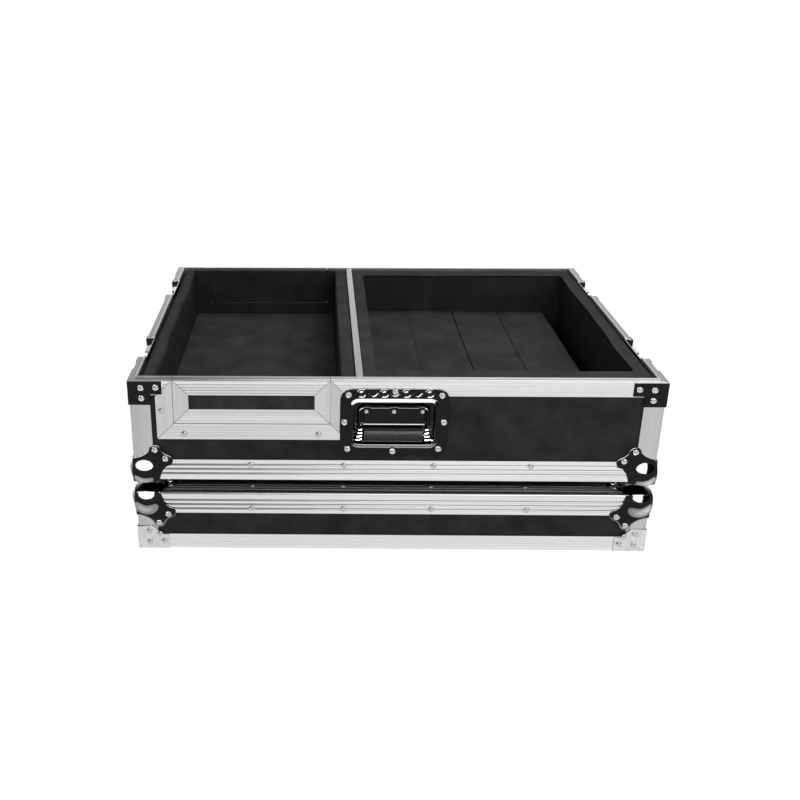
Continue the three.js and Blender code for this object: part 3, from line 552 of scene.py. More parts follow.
# The uprights are painted darker than the crosswise edging, as shade for how light falls on their upright
# brushing.
painted_shade_upright_aluminium = aluminium("aluminium_upright", "z", tone=0.66)


def at_corner(shape, corner):
    """Takes a shape drawn for the front left corner to its own corner."""
    x_sign, y_sign = corner_signs[corner]
    bmesh.ops.scale(shape, verts=shape.verts, vec=(x_sign, y_sign, 1))
    return shape


def corner_angle(low, high):
    left, front = -half_width, -half_depth
    profile = rounded([
        (left, front, sheet / 2), (left + angle_leg, front, leg_end_round),
        (left + angle_leg, front + sheet, leg_end_round), (left + sheet, front + sheet),
        (left + sheet, front + angle_leg, leg_end_round), (left, front + angle_leg, leg_end_round)])
    return extruded(profile, "z", low, high)


for corner in corner_signs:
    for body, ends in angle_ends.items():
        angle = at_corner(corner_angle(*ends), corner)
        piece(f"{body}_angle_{corner}", angle, painted_shade_upright_aluminium, body, "edge_aluminium")

# Closing rims: aluminium channels over the plywood's edges. The tray's has a raised tongue
# inside a flat ledge, and the lid's the rebate for it. Both stop at the latches, and the tray's
# front and rear rims at the doors.
rim_thickness = 12 * mm
rim_top = 3 * mm
rim_flange_height = 12 * mm
flange_sheet = 0.9 * mm
tongue_start = 9.2 * mm
rebate_start = 5 * mm
ledge_lines = [(2.2 * mm, 1.2 * mm), (5.2 * mm, 1.2 * mm)]
ledge_depth = 0.6 * mm
tongue_round = 0.5 * mm
tongue_groove = 0.8 * mm
edge_round = 0.8 * mm
line_width = 0.7 * mm
line_depth = 0.14 * mm
fit = 0.3 * mm
latch_place = 157.5 * mm
latch_half = 43.5 * mm
seam_half = 0.45 * mm
# painted shade: the least that the whole ledge is darkened
ledge_least_painted_shade = 0.12
door_low, door_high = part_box("front_door_panel")
door_seam = 2.55 * mm
door_left = door_low.x - door_seam
door_right = door_high.x + door_seam
line_places = [4.2 * mm, 8.6 * mm, 13 * mm, 17.4 * mm]


def lined(start, end, direction):
    """Fine grooves on an outer face, as (depth, height) points from start towards end."""
    grooves = dips(line_places, line_width, line_depth)
    points = [(depth, start + direction * along) for along, depth in grooves]
    return [p for p in points if min(start, end) < p[1] < max(start, end)]


def rim_flange(top):
    """Corners of the tray rim's face flange, up to the corners of what lies on its top."""
    face = rim_level - rim_face
    return rounded([
        (sheet, face, leg_end_round), (0, face, leg_end_round),
        *lined(face, rim_level, 1), (0, rim_level, edge_round), *top])


def rim_top_corners():
    """Corners of the tray rim's ledge, with its grooves, of its tongue and of its inner flange."""
    groove_start, groove_floor = tongue_start - tongue_groove, rim_level - tongue_groove
    tongue_top, flange_end = rim_level + tongue_rise, rim_level - rim_flange_height
    flange_face = rim_thickness - flange_sheet
    valleys = []
    for place, width in ledge_lines:
        valleys += [(place, rim_level), (place + width / 3, rim_level - ledge_depth),
                    (place + 2 * width / 3, rim_level - ledge_depth), (place + width, rim_level)]
    return [
        *valleys, (groove_start, rim_level), (groove_start, groove_floor),
        (tongue_start, groove_floor), (tongue_start, tongue_top, tongue_round),
        (rim_thickness, tongue_top, tongue_round), (rim_thickness, flange_end, flange_sheet / 3),
        (flange_face, flange_end, flange_sheet / 3), (flange_face, rim_level - rim_top),
        (sheet, rim_level - rim_top)]


def rim_channel(start, end):
    """The tray's rim without its face flange, which a door's mitre cuts on its own."""
    return extruded(rounded([(sheet, rim_level), *rim_top_corners()]), "x", start, end)


def ledge_painted_shade(place):
    """Painted shade on the tray rim's ledge: a little over all of it, and most along its fine grooves."""
    on_ledge = edge_round / 2 < place.y < tongue_start - tongue_groove - fit
    if not on_ledge or place.z < rim_level - 2 * ledge_depth:
        return 0
    return ledge_least_painted_shade + (1 - ledge_least_painted_shade) * min((rim_level - place.z) / ledge_depth, 1)


def door_mitred_rim(start, end, corner_end, door_edge, direction):
    """A stretch of front or rear rim whose face is sawn at 45 degrees where a door begins."""
    channel = rim_channel(start, end)
    flange = extruded(rim_flange([(sheet, rim_level)]), "x", start, end)
    for shape in (channel, flange):
        saw(shape, (corner_end, 0, 0), (-direction, 1, 0))
    mitre(flange, (door_edge, 0, rim_level), (direction, 0, -1))
    return shaded(merged(channel, flange), ledge_painted_shade)


for side, sign in (("front", 1), ("rear", -1)):
    beside_door = sorted((sign * door_left - sign * seam_half, sign * door_right + sign * seam_half))
    for end, door_edge in zip((-1, 1), beside_door):
        corner_end = end * half_width
        start, stop = sorted((corner_end, door_edge))
        shape = door_mitred_rim(start, stop, corner_end, door_edge, -end)
        name = f"tray_{side}_rim_{'right' if end * sign > 0 else 'left'}"
        piece(name, on_wall(shape, side), aluminium_of_wall[side], "tray", "edge_aluminium")


def side_stretches(profile, side):
    """The stretches of a side wall's rim: one at each corner and one between the latches."""
    inner, outer = latch_place - latch_half, latch_place + latch_half
    for end in (-1, 1):
        start, stop = sorted((end * outer, end * half_depth))
        shape = mitre(extruded(profile, "x", start, stop), (end * half_depth, 0, 0), (end, 1, 0))
        shaded(shape, ledge_painted_shade)
        yield f"{side}_rim_{'rear' if (end > 0) == (side == 'right') else 'front'}", on_wall(shape, side)
    yield f"{side}_rim_middle", on_wall(shaded(extruded(profile, "x", -inner, inner), ledge_painted_shade), side)


def lid_rim_profile():
    """Outline of the lid's rim, with the rebate that the tray's tongue drops into."""
    rebate = tongue_rise + fit
    over = rebate + rim_top
    step = rebate_start - fit
    return rounded([
        (sheet, over), (sheet, lid_rim_face, leg_end_round), (0, lid_rim_face, leg_end_round),
        *lined(lid_rim_face, 0, -1), (0, 0, edge_round), (step, 0, leg_end_round),
        (step, rebate), (rim_thickness, rebate, leg_end_round),
        (rim_thickness, rebate + rim_flange_height, flange_sheet / 3),
        (rim_thickness - flange_sheet, rebate + rim_flange_height, flange_sheet / 3),
        (rim_thickness - flange_sheet, over)])


for side in ("left", "right"):
    for body, profile in (("tray", rim_flange(rim_top_corners())), ("lid", lid_rim_profile())):
        for name, shape in side_stretches(profile, side):
            stands_for = [f"{body}_{side}_rim"] if "middle" in name else []
            piece(f"{body}_{name}", shape, aluminium_of_wall[side], body, "edge_aluminium", *stands_for)
for side in ("front", "rear"):
    shape = mitred_length(lid_rim_profile(), side)
    piece(f"lid_{side}_rim", shape, aluminium_of_wall[side], "lid", "edge_aluminium")

# Door surrounds: flat aluminium strip round the opening in the front and in the rear wall,
# mitred into the rim. Its leg lines the opening and is grooved for the door to slide in.
surround_strip = 25.2 * mm
surround_leg = 5 * mm
groove_reach = 3.8 * mm
slide_inset = 4.5 * mm
slide_thickness = 3.5 * mm
door_sill = door_low.z - door_seam
strip_lines = [5.2 * mm, 9.6 * mm, 14 * mm, 18.4 * mm]
# The upright strips are painted darker than the crosswise ones, as shade for how light falls on their upright
# brushing.
fitted_aluminium = {
    "x": aluminium("surround_aluminium_crosswise", "x", tone=0.9),
    "z": aluminium("surround_aluminium_upright", "z", tone=0.78),
}


def door_span(side):
    """Where the door's opening starts and ends, from left to right as seen from outside."""
    return (door_left, door_right) if side == "front" else (-door_right, -door_left)


def strip_profile(outward, leg, groove):
    """Outline of a strip beside an opening: across runs outwards from the opening's edge."""
    lines = [(depth, outward * along) for along, depth in dips(strip_lines, line_width, line_depth)]
    groove_end = slide_inset + slide_thickness + fit
    slot = [
        (groove_end, 0), (groove_end, outward * groove),
        (slide_inset - fit, outward * groove), (slide_inset - fit, 0)] if groove else []
    return rounded([
        (0, 0), *lines, (0, outward * surround_strip, leg_end_round),
        (sheet, outward * surround_strip, leg_end_round), (sheet, outward * leg),
        (rim_thickness, outward * leg, leg_end_round), (rim_thickness, 0), *slot])


def placed(profile, across):
    """Takes a strip's outline to an upright edge that lies across there."""
    return [(across + v, u) for u, v in profile]


for side, sign in (("front", 1), ("rear", -1)):
    left, right = door_span(side)
    left, right, sill = left - seam_half, right + seam_half, door_sill - seam_half
    bottom = sill - surround_strip
    shape = extruded(raised(strip_profile(-1, surround_leg, 0), sill), "x",
                     left - surround_strip, right + surround_strip)
    mitre(mitre(shape, (left, 0, sill), (-1, 0, 1)), (right, 0, sill), (1, 0, 1))
    piece(f"{side}_surround_sill", on_wall(shape, side), fitted_aluminium["x"], "tray", "edge_aluminium")
    for edge, outward in ((left, -1), (right, 1)):
        shape = extruded(placed(strip_profile(outward, surround_leg, groove_reach), edge), "z",
                         bottom, rim_level)
        mitre(mitre(shape, (edge, 0, sill), (-outward, 0, -1)), (edge, 0, rim_level), (outward, 0, 1))
        name = f"{side}_surround_{'right' if outward * sign > 0 else 'left'}"
        piece(name, on_wall(shape, side), fitted_aluminium["z"], "tray", "edge_aluminium")

# Lift-out doors: a mitred aluminium frame round a laminate panel, in front of and behind the
# mixer. The top rail carries on the tray's rim, and slides run down both edges.
door_strip = 22.5 * mm
door_web = 2 * mm
slide_reach = 3.25 * mm
door_lines = [4.6 * mm, 9 * mm, 13.4 * mm, 17.8 * mm]


def stile_profile(inward, slide):
    """Outline of a door's edge strip: across runs inwards from the door's edge."""
    lines = [(depth, inward * along) for along, depth in dips(door_lines, line_width, line_depth)]
    slide_end = slide_inset + slide_thickness
    tongue = [
        (slide_end, 0), (slide_end, -inward * slide, leg_end_round),
        (slide_inset, -inward * slide, leg_end_round), (slide_inset, 0)] if slide else []
    return rounded([
        (0, 0), *lines, (0, inward * door_strip, leg_end_round),
        (sheet, inward * door_strip, leg_end_round), (sheet, inward * door_web),
        (rim_thickness, inward * door_web, leg_end_round), (rim_thickness, 0), *tongue])


for side in ("front", "rear"):
    left, right = door_span(side)
    left, right, sill = left + seam_half, right - seam_half, door_sill + seam_half
    flange = extruded(rim_flange([(sheet, rim_level)]), "x", left, right)
    mitre(mitre(flange, (left, 0, rim_level), (-1, 0, -1)), (right, 0, rim_level), (1, 0, -1))
    rail = shaded(merged(flange, rim_channel(left, right)), ledge_painted_shade)
    piece(f"{side}_door_top_rail", on_wall(rail, side), aluminium_of_wall["front"],
          f"{side}_door", "edge_aluminium", f"{side}_door_frame")
    shape = extruded(raised(stile_profile(1, 0), sill), "x", left, right)
    mitre(mitre(shape, (left, 0, sill), (-1, 0, 1)), (right, 0, sill), (1, 0, 1))
    piece(f"{side}_door_bottom_rail", on_wall(shape, side), fitted_aluminium["x"],
          f"{side}_door", "edge_aluminium")
    for edge, inward in ((left, 1), (right, -1)):
        shape = extruded(placed(stile_profile(inward, slide_reach), edge), "z", sill, rim_level)
        mitre(mitre(shape, (edge, 0, sill), (inward, 0, -1)), (edge, 0, rim_level), (inward, 0, 1))
        square_top = rim_level - rim_top
        for v in shape.verts:
            if v.co.y > sheet:
                v.co.z = min(v.co.z, square_top)
        name = f"{side}_door_stile_{'left' if (inward > 0) == (side == 'front') else 'right'}"
        piece(name, on_wall(shape, side), fitted_aluminium["z"], f"{side}_door", "edge_aluminium")

# Divider cap: a thin aluminium channel pushed over the top of the wall between the bays.
cap_half = 5.1 * mm
cap_height = 18 * mm
cap_sheet = 0.8 * mm
cap_round = 0.9 * mm
divider_low, divider_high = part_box("divider")
divider_middle = (divider_low.x + divider_high.x) / 2
cap_aluminium = aluminium("cap_aluminium", "y", tone=0.9)

cap_left, cap_right = divider_middle - cap_half, divider_middle + cap_half
cap_foot, cap_under = rim_level - cap_height, rim_level - cap_sheet
cap_profile = rounded([
    (cap_left, cap_foot), (cap_left, rim_level, cap_round), (cap_right, rim_level, cap_round),
    (cap_right, cap_foot), (cap_right - cap_sheet, cap_foot), (cap_right - cap_sheet, cap_under),
    (cap_left + cap_sheet, cap_under), (cap_left + cap_sheet, cap_foot)])
cap_reach = half_depth - rim_thickness
cap = extruded(cap_profile, "y", -cap_reach, cap_reach)
piece("divider_cap", cap, cap_aluminium, "tray", "edge_aluminium")

# Ball corners: steel pressings in dark chrome, a hollow ball with three flat petals, two
# rivets in each. They take the knocks and keep stacked cases apart.
ball_radius = 24 * mm
ball_centre = Vector((15.2, 15.2, 13.6)) * mm
ball_fillet = 6 * mm
petal_sheet = 1.5 * mm
petal_reach = 38 * mm
petal_pull = (40 * mm, 15 * mm)
lobe_far = 49.5 * mm
lobe_near = 33 * mm
lobe_radius = 9.5 * mm
lobe_dip = 44.5 * mm
lobe_start, lobe_end = -90, 75
ball_sides, ball_rows = 64, 32
ball_voxel = 0.8 * mm
ball_smoothing = 3
skin_passes = 3
skin_nudge = ball_voxel / 50
least_slope = 0.25
lobe_steps = 12
chrome_colour = (0.015, 0.015, 0.0155)
chrome_dull_share = 0.8
chrome_roughness = (0.05, 0.12)
chrome_relief = 0.00006
chrome_per_metre = {"wave": 70, "smear": 240}

dark_chrome = new_finish("dark_chrome", chrome_colour, 1, chrome_roughness[0])
waves = pattern(dark_chrome, chrome_per_metre["wave"], detail=2)
smears = pattern(dark_chrome, chrome_per_metre["smear"], detail=5)
vary_colour(dark_chrome, smears, tuple(chrome_dull_share * c for c in chrome_colour), chrome_colour)
vary_roughness(dark_chrome, smears, *chrome_roughness)
add_relief(dark_chrome, waves, chrome_relief)


def arc(centre, radius, start, end, steps=lobe_steps):
    """Points on an arc in degrees, anticlockwise where end is larger."""
    turns = [math.radians(start + (end - start) * k / steps) for k in range(steps + 1)]
    return [(centre[0] + radius * math.cos(t), centre[1] + radius * math.sin(t)) for t in turns]


def curve(start, pull, end, steps=lobe_steps):
    """Points on a smooth bend from start to end, drawn towards pull."""
    shares = [k / steps for k in range(1, steps)]
    return [tuple(a * (1 - s) ** 2 + 2 * p * s * (1 - s) + b * s ** 2
                  for a, p, b in zip(start, pull, end)) for s in shares]


def skin_distance(place, back):
    """How far a point lies outside a ball that runs smoothly into the case's three faces."""
    to_ball = (place - ball_centre).length - ball_radius
    to_faces = max(back - c for c in place)
    share = max(ball_fillet - abs(to_ball - to_faces), 0) / ball_fillet
    return min(to_ball, to_faces) - share * share * ball_fillet / 4


def on_skin(place, back):
    """Moves a point of the ball or of its foot onto the smooth skin."""
    to_ball = (place - ball_centre).length - ball_radius
    to_faces = max(back - c for c in place)
    if to_faces < -petal_sheet / 3 or to_ball > to_faces + ball_fillet:
        return place
    for _ in range(skin_passes):
        distance = skin_distance(place, back)
        slope = Vector([(skin_distance(place + skin_nudge * axis, back) - distance) / skin_nudge
                        for axis in Matrix.Identity(3)])
        place = place - distance * slope / max(slope.length_squared, least_slope)
    return place


def ball_corner():
    """Drawn with the case's corner at the origin and the case towards +x, +y and +z."""
    waist = lobe_near - lobe_radius
    back = -petal_sheet - fit
    lobes = [arc((lobe_far, lobe_near), lobe_radius, lobe_start, lobe_end),
             arc((lobe_near, lobe_far), lobe_radius, 90 - lobe_end, 90 - lobe_start)]
    outline = [
        (back, back), (petal_reach, back),
        *curve((petal_reach, 0), petal_pull, (lobe_far, waist)),
        *lobes[0], *curve(lobes[0][-1], (lobe_dip, lobe_dip), lobes[1][0]), *lobes[1],
        *curve((waist, lobe_far), petal_pull[::-1], (0, petal_reach)), (back, petal_reach)]
    plates = [extruded(outline, axis, back, -fit) for axis in "xyz"]
    ball = bmesh.new()
    bmesh.ops.create_uvsphere(ball, u_segments=ball_sides, v_segments=ball_rows, radius=ball_radius)
    bmesh.ops.translate(ball, verts=ball.verts, vec=ball_centre)
    shape = merged(ball, *plates)
    bmesh.ops.recalc_face_normals(shape, faces=shape.faces)
    mesh = bpy.data.meshes.new("ball_corner")
    shape.to_mesh(mesh)
    shape.clear()
    inside = bmesh.new()
    bmesh.ops.create_cube(inside, size=4 * lobe_far)
    bmesh.ops.translate(inside, verts=inside.verts, vec=(2 * lobe_far - fit,) * 3)
    case_mesh = bpy.data.meshes.new("case_corner")
    inside.to_mesh(case_mesh)
    inside.free()
    pressing = bpy.data.objects.new("ball_corner", mesh)
    case_corner = bpy.data.objects.new("case_corner", case_mesh)
    for solid in (pressing, case_corner):
        bpy.context.scene.collection.objects.link(solid)
    fuse = pressing.modifiers.new("fuse", "REMESH")
    fuse.mode = "VOXEL"
    fuse.voxel_size = ball_voxel
    hollow = pressing.modifiers.new("hollow", "BOOLEAN")
    hollow.object = case_corner
    hollow.solver = "EXACT"
    again = pressing.modifiers.new("again", "REMESH")
    again.mode = "VOXEL"
    again.voxel_size = ball_voxel
    bpy.context.view_layer.update()
    pressed = bpy.data.meshes.new_from_object(
        pressing.evaluated_get(bpy.context.evaluated_depsgraph_get()))
    shape.from_mesh(pressed)
    for _ in range(ball_smoothing):
        bmesh.ops.smooth_vert(shape, verts=shape.verts, factor=0.5,
                              use_axis_x=True, use_axis_y=True, use_axis_z=True)
    for v in shape.verts:
        v.co = on_skin(v.co, back)
    for solid in (pressing, case_corner):
        bpy.data.objects.remove(solid)
    shape.to_mesh(pressed)
    shape.free()
    return pressed


ball_shape = ball_corner()
balls_middle = (tray_bottom + lid_top) / 2
for corner in corner_signs:
    shape = bmesh.new()
    shape.from_mesh(ball_shape)
    bmesh.ops.translate(shape, verts=shape.verts, vec=(-half_width, -half_depth, tray_bottom))
    lid_twin = shape.copy()
    upside_down(lid_twin, balls_middle)
    for body, twin in (("tray", shape), ("lid", lid_twin)):
        name = f"{body}_ball_corner_{corner}"
        piece(f"{name}_pressing", at_corner(twin, corner), dark_chrome, body, "dark_chrome", name, crease=60)

# Corner plates and braces: the tray's top corners carry flat dark chrome plates bent round the
# angle, and the lid's corners galvanised braces. Both are pressed sheet with eased edges.
plate_edge = 0.35 * mm
face_weld = 0.01 * mm
face_flatness = math.radians(1)
zinc_pale = (0.66, 0.66, 0.67)
zinc_dark = (0.5, 0.5, 0.51)
zinc_roughness = (0.3, 0.48)
spangles_per_metre = 300

galvanised = new_finish("galvanised_steel", zinc_pale, 1, zinc_roughness[1])
spangles = pattern(galvanised, spangles_per_metre, cells=True)
vary_colour(galvanised, spangles, zinc_dark, zinc_pale, low=0.1, high=0.9)
vary_roughness(galvanised, spangles, *zinc_roughness, low=0.1, high=0.9)


def ease_edges(made, width, segments=2, angle=30):
    """Takes the sharpness off a piece's edges."""
    bevel = made.modifiers.new("eased_edges", "BEVEL")
    bevel.width = width
    bevel.segments = segments
    bevel.limit_method = "ANGLE"
    bevel.angle_limit = math.radians(angle)
    return made


def soften(node, finish, width):
    """A CAD piece whose shape is right: its faces are made whole and its edges eased."""
    dress(node, finish)
    made = frame["nodes"][node]
    made.modifiers.new("joined_faces", "WELD").merge_threshold = face_weld
    flat = made.modifiers.new("whole_faces", "DECIMATE")
    flat.decimate_type = "DISSOLVE"
    flat.angle_limit = face_flatness
    return ease_edges(made, width)


for corner in corner_signs:
    soften(f"tray_bracket_{corner}", dark_chrome, plate_edge)
    soften(f"lid_brace_{corner}", galvanised, plate_edge)

# Foam pads: black closed-cell foam, cut with a knife and glued in on both sides of the mixer
# and under it. The left pad bulges where the latches' dishes stand behind it.
foam_pale = (0.05, 0.05, 0.051)
foam_dark = (0.03, 0.03, 0.031)
foam_roughness = (0.8, 0.95)
foam_shine = 0.1
# painted light and shade: how much darker the foam's upright faces and how much paler its tops are painted
painted_upright_foam_shade, painted_flat_foam_light = 0.52, 1.22
pit_depth = 0.00025
foam_per_metre = {"blotch": 22, "pit": 700}
foam_round = 3.5 * mm
rolled_edge = 8 * mm
cut_corner = 2 * mm
foam_unevenness = 0.9 * mm
foam_waves_per_metre = 14
foam_steps = 48
side_rows = 4
top_step = 16 * mm
below_plates = 24 * mm
clear_of_dish = 0.7 * mm
clear_of_tub = 3.2 * mm
bulge_reach = 2.6 * mm
bulge_half = 46 * mm
bulge_start = 70 * mm
bulge_rise = 50 * mm
mixer_left_foam = 20.7 * mm
mixer_right_foam = 22.2 * mm
mixer_bed_below = 90 * mm
mixer_bed_round = 2 * mm

foam = new_finish("black_foam", foam_pale, 0, foam_roughness[1], foam_shine)
foam_blotches = pattern(foam, foam_per_metre["blotch"], detail=6)
pits = pattern(foam, foam_per_metre["pit"], detail=3)
vary_colour(foam, foam_blotches, foam_dark, foam_pale)
# painted light and shade: faces that look up are painted paler, upright ones darker
facing = foam.node_tree.nodes.new("ShaderNodeNewGeometry")
upward_share_for_painted_light = foam.node_tree.nodes.new("ShaderNodeSeparateXYZ")
foam.node_tree.links.new(facing.outputs["True Normal"], upward_share_for_painted_light.inputs["Vector"])
scale_colour(foam, upward_share_for_painted_light.outputs["Z"], painted_upright_foam_shade, painted_flat_foam_light)
vary_roughness(foam, pits, *foam_roughness)
add_relief(foam, pits, pit_depth)


def round_cornered(left, right, low, high, radius, side_steps=1):
    """Points round a rectangle with round corners, each of its sides cut into steps."""
    centres = [(right - radius, high - radius), (left + radius, high - radius),
               (left + radius, low + radius), (right - radius, low + radius)]
    bends = [arc(centre, radius, 90 * n, 90 * n + 90, arc_steps) for n, centre in enumerate(centres)]
    points = []
    for n, bend in enumerate(bends):
        start, end = Vector(bend[-1]), Vector(bends[(n + 1) % 4][0])
        points += bend + [tuple(start.lerp(end, k / side_steps)) for k in range(1, side_steps)]
    return points


def lofted(loops, ring=False):
    """A shell through loops of as many points each, closed at both ends or on itself."""
    shape = bmesh.new()
    rows = [[shape.verts.new(point) for point in loop] for loop in loops]
    pairs = list(zip(rows, rows[1:]))
    if ring:
        pairs.append((rows[-1], rows[0]))
    else:
        shape.faces.new(rows[0])
        shape.faces.new(rows[-1])
    for row, following in pairs:
        for n in range(len(row)):
            shape.faces.new((row[n - 1], row[n], following[n], following[n - 1]))
    return shape


def round_over(radius, steps=4):
    """Steps (in, up) over a rounded upper edge, starting on the upright face."""
    turns = [math.radians(90 * k / steps) for k in range(1, steps + 1)]
    return [(radius * (1 - math.cos(t)), radius * math.sin(t)) for t in turns]


def foam_block(low, high, edge=foam_round, low_front=0):
    """A cut block with worn upper edges. Below the plates its front may stand back."""

    def loop(shrink, level, back=0):
        radius = max(cut_corner - shrink, cut_corner / 4)
        outline = round_cornered(low[0] + shrink, high[0] - shrink, low[1] + back + shrink,
                                 high[1] - shrink, radius, foam_steps)
        return [(u, v, level) for u, v in outline]

    step = max(high[2] - below_plates, (low[2] + high[2] - edge) / 2)
    loops = [loop(0, low[2] + (step - low[2]) * k / side_rows, low_front) for k in range(side_rows + 1)]
    loops += [loop(0, step + edge / 2)]
    loops += [loop(shrink, high[2] - edge + rise) for shrink, rise in [(0, 0)] + round_over(edge)]
    half = min(high[0] - low[0], high[1] - low[1]) / 2 - cut_corner / 4
    count = max(2, round((half - edge) / top_step))
    loops += [loop(edge + (half - edge) * k / count, high[2]) for k in range(1, count + 1)]
    return lofted(loops)


def bulge(place, level):
    """How far a side pad is pushed inwards where a latch's dish stands behind it."""
    swell = sum(math.exp(-((place - end * latch_place) / bulge_half) ** 2) for end in (-1, 1))
    rise = min(max((level - rim_level + bulge_start) / bulge_rise, 0), 1)
    return bulge_reach * swell * rise * rise * (3 - 2 * rise)


def foam_piece(name, shape, body, *nodes):
    """A foam piece with the slight unevenness of hand cutting and gluing."""
    for v in shape.verts:
        v.co += foam_unevenness * noise.noise_vector(v.co * foam_waves_per_metre)
    made = piece(name, shape, foam, body, "black_foam", *nodes, crease=50)
    return made


liner_low, liner_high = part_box("mixer_bay_liner")
mixer_left = liner_low.x + mixer_left_foam
mixer_right = liner_high.x - mixer_right_foam
mixer_bed_top = rim_level - mixer_bed_below

pad = foam_block((liner_low.x + clear_of_dish, liner_low.y, liner_low.z),
                 (mixer_left, liner_high.y, liner_high.z), edge=rolled_edge)
for v in pad.verts:
    share = (v.co.x - liner_low.x) / mixer_left_foam
    v.co.x += share * bulge(v.co.y, v.co.z)
foam_piece("mixer_left_pad", pad, "tray", "mixer_bay_liner")
pad = foam_block((mixer_right, liner_low.y, liner_low.z), liner_high, low_front=clear_of_tub)
foam_piece("mixer_right_pad", pad, "tray", "mixer_bay_liner")
pad = foam_block((mixer_left + fit, liner_low.y, liner_low.z),
                 (mixer_right - fit, liner_high.y, mixer_bed_top), edge=mixer_bed_round)
foam_piece("mixer_bed", pad, "tray", "mixer_bay_liner")

# Linings of the mixer bay's ends: thin foam sheet glued over the plywood and over the inside
# of each door, parted along the door's edges so that the door still lifts out.
lining_sheet = 2.2 * mm
lining_seam = 0.3 * mm
lining_edge = 0.6 * mm
lining_inset = rim_thickness + lining_edge / 2

for side, sign in (("front", 1), ("rear", -1)):
    left, right = sorted((sign * (mixer_left + fit), sign * (mixer_right - fit)))
    door_start, door_end = door_span(side)
    bed, top = mixer_bed_top + fit, liner_high.z
    low, start, end = (door_sill - lining_seam, door_start - lining_seam, door_end + lining_seam)
    round_door = [(left, bed), (right, bed), (right, top), (end, top), (end, low), (start, low),
                  (start, top), (left, top)]
    low, start, end = (door_sill + lining_seam, door_start + lining_seam, door_end - lining_seam)
    on_door = [(start, low), (end, low), (end, top), (start, top)]
    for name, outline, body, nodes in (("lining", round_door, "tray", ["mixer_bay_liner"]),
                                       ("door_lining", on_door, f"{side}_door", [])):
        lining = on_wall(extruded(outline, "y", lining_inset, lining_inset + lining_sheet), side)
        ease_edges(foam_piece(f"{side}_{name}", lining, body, *nodes), lining_edge)

# Turntable bay: one ring of foam round the walls, cut out with soft corners, and four foam
# planks side by side as its bed, which leave a channel for leads along the right.
deck_foam = {"left": 20.1 * mm, "right": 21.2 * mm, "front": 37.7 * mm, "rear": 32.7 * mm}
hole_corner = 9 * mm
deck_bed_below = 75 * mm
deck_channel = 30 * mm
plank_count = 4
plank_seams = [0.15 * mm, 1.3 * mm, 0.6 * mm, 0]
plank_round = 0.9 * mm
ring_low, ring_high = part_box("turntable_bay_liner")
ring_right = ring_high.x - clear_of_dish
hole_left, hole_right = ring_low.x + deck_foam["left"], ring_high.x - deck_foam["right"]
hole_front, hole_rear = ring_low.y + deck_foam["front"], ring_high.y - deck_foam["rear"]
outer_edge = foam_round / 2


def hole_loop(grow, level):
    """Points round the hole in the ring, which bulges where the right latches stand."""
    outline = round_cornered(hole_left - grow, hole_right + grow, hole_front - grow, hole_rear + grow,
                             hole_corner + grow, foam_steps)
    return [(u - bulge(v, level) * (u > hole_right - hole_corner), v, level) for u, v in outline]


def outer_loop(shrink, level, back=0):
    """Points round the ring's outside."""
    outline = round_cornered(ring_low.x + shrink, ring_right - shrink, ring_low.y + shrink + back,
                             ring_high.y - shrink, cut_corner, foam_steps)
    return [(u, v, level) for u, v in outline]


plates_end = ring_high.z - below_plates
loops = [outer_loop(0, level, clear_of_tub) for level in (ring_low.z, plates_end)]
loops += [outer_loop(0, plates_end + outer_edge)]
loops += [outer_loop(shrink, ring_high.z - outer_edge + rise)
          for shrink, rise in [(0, 0)] + round_over(outer_edge)]
flat = hole_loop(foam_round, ring_high.z)
rim = loops[-1]
for share in (1 / 3, 2 / 3):
    loops.append([tuple(Vector(a).lerp(Vector(b), share)) for a, b in zip(rim, flat)])
loops += [hole_loop(foam_round - shrink, ring_high.z - foam_round + rise)
          for shrink, rise in reversed([(0, 0)] + round_over(foam_round))]
fall = ring_high.z - foam_round - ring_low.z
for k in range(1, side_rows + 1):
    loops.append(hole_loop(0, ring_high.z - foam_round - fall * k / side_rows))
foam_piece("turntable_bay_ring", lofted(loops, ring=True), "tray", "turntable_bay_liner")

bed_left, bed_right = hole_left + fit, hole_right - deck_channel
plank_width = (bed_right - bed_left) / plank_count
for n, seam in enumerate(plank_seams):
    left = bed_left + n * plank_width
    right = left + plank_width - seam
    plank = foam_block((left, hole_front + fit, ring_low.z),
                       (right, hole_rear - fit, rim_level - deck_bed_below), edge=plank_round)
    foam_piece(f"turntable_bed_plank_{n + 1}", plank, "tray", "turntable_bed")

# Lid pad: one thick sheet of foam glued under the lid's top, which presses on the equipment.
lid_pad_low, lid_pad_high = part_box("lid_foam")
pad = foam_block(lid_pad_low, lid_pad_high)
foam_piece("lid_pad", upside_down(pad, (lid_pad_low.z + lid_pad_high.z) / 2), "lid", "lid_foam")

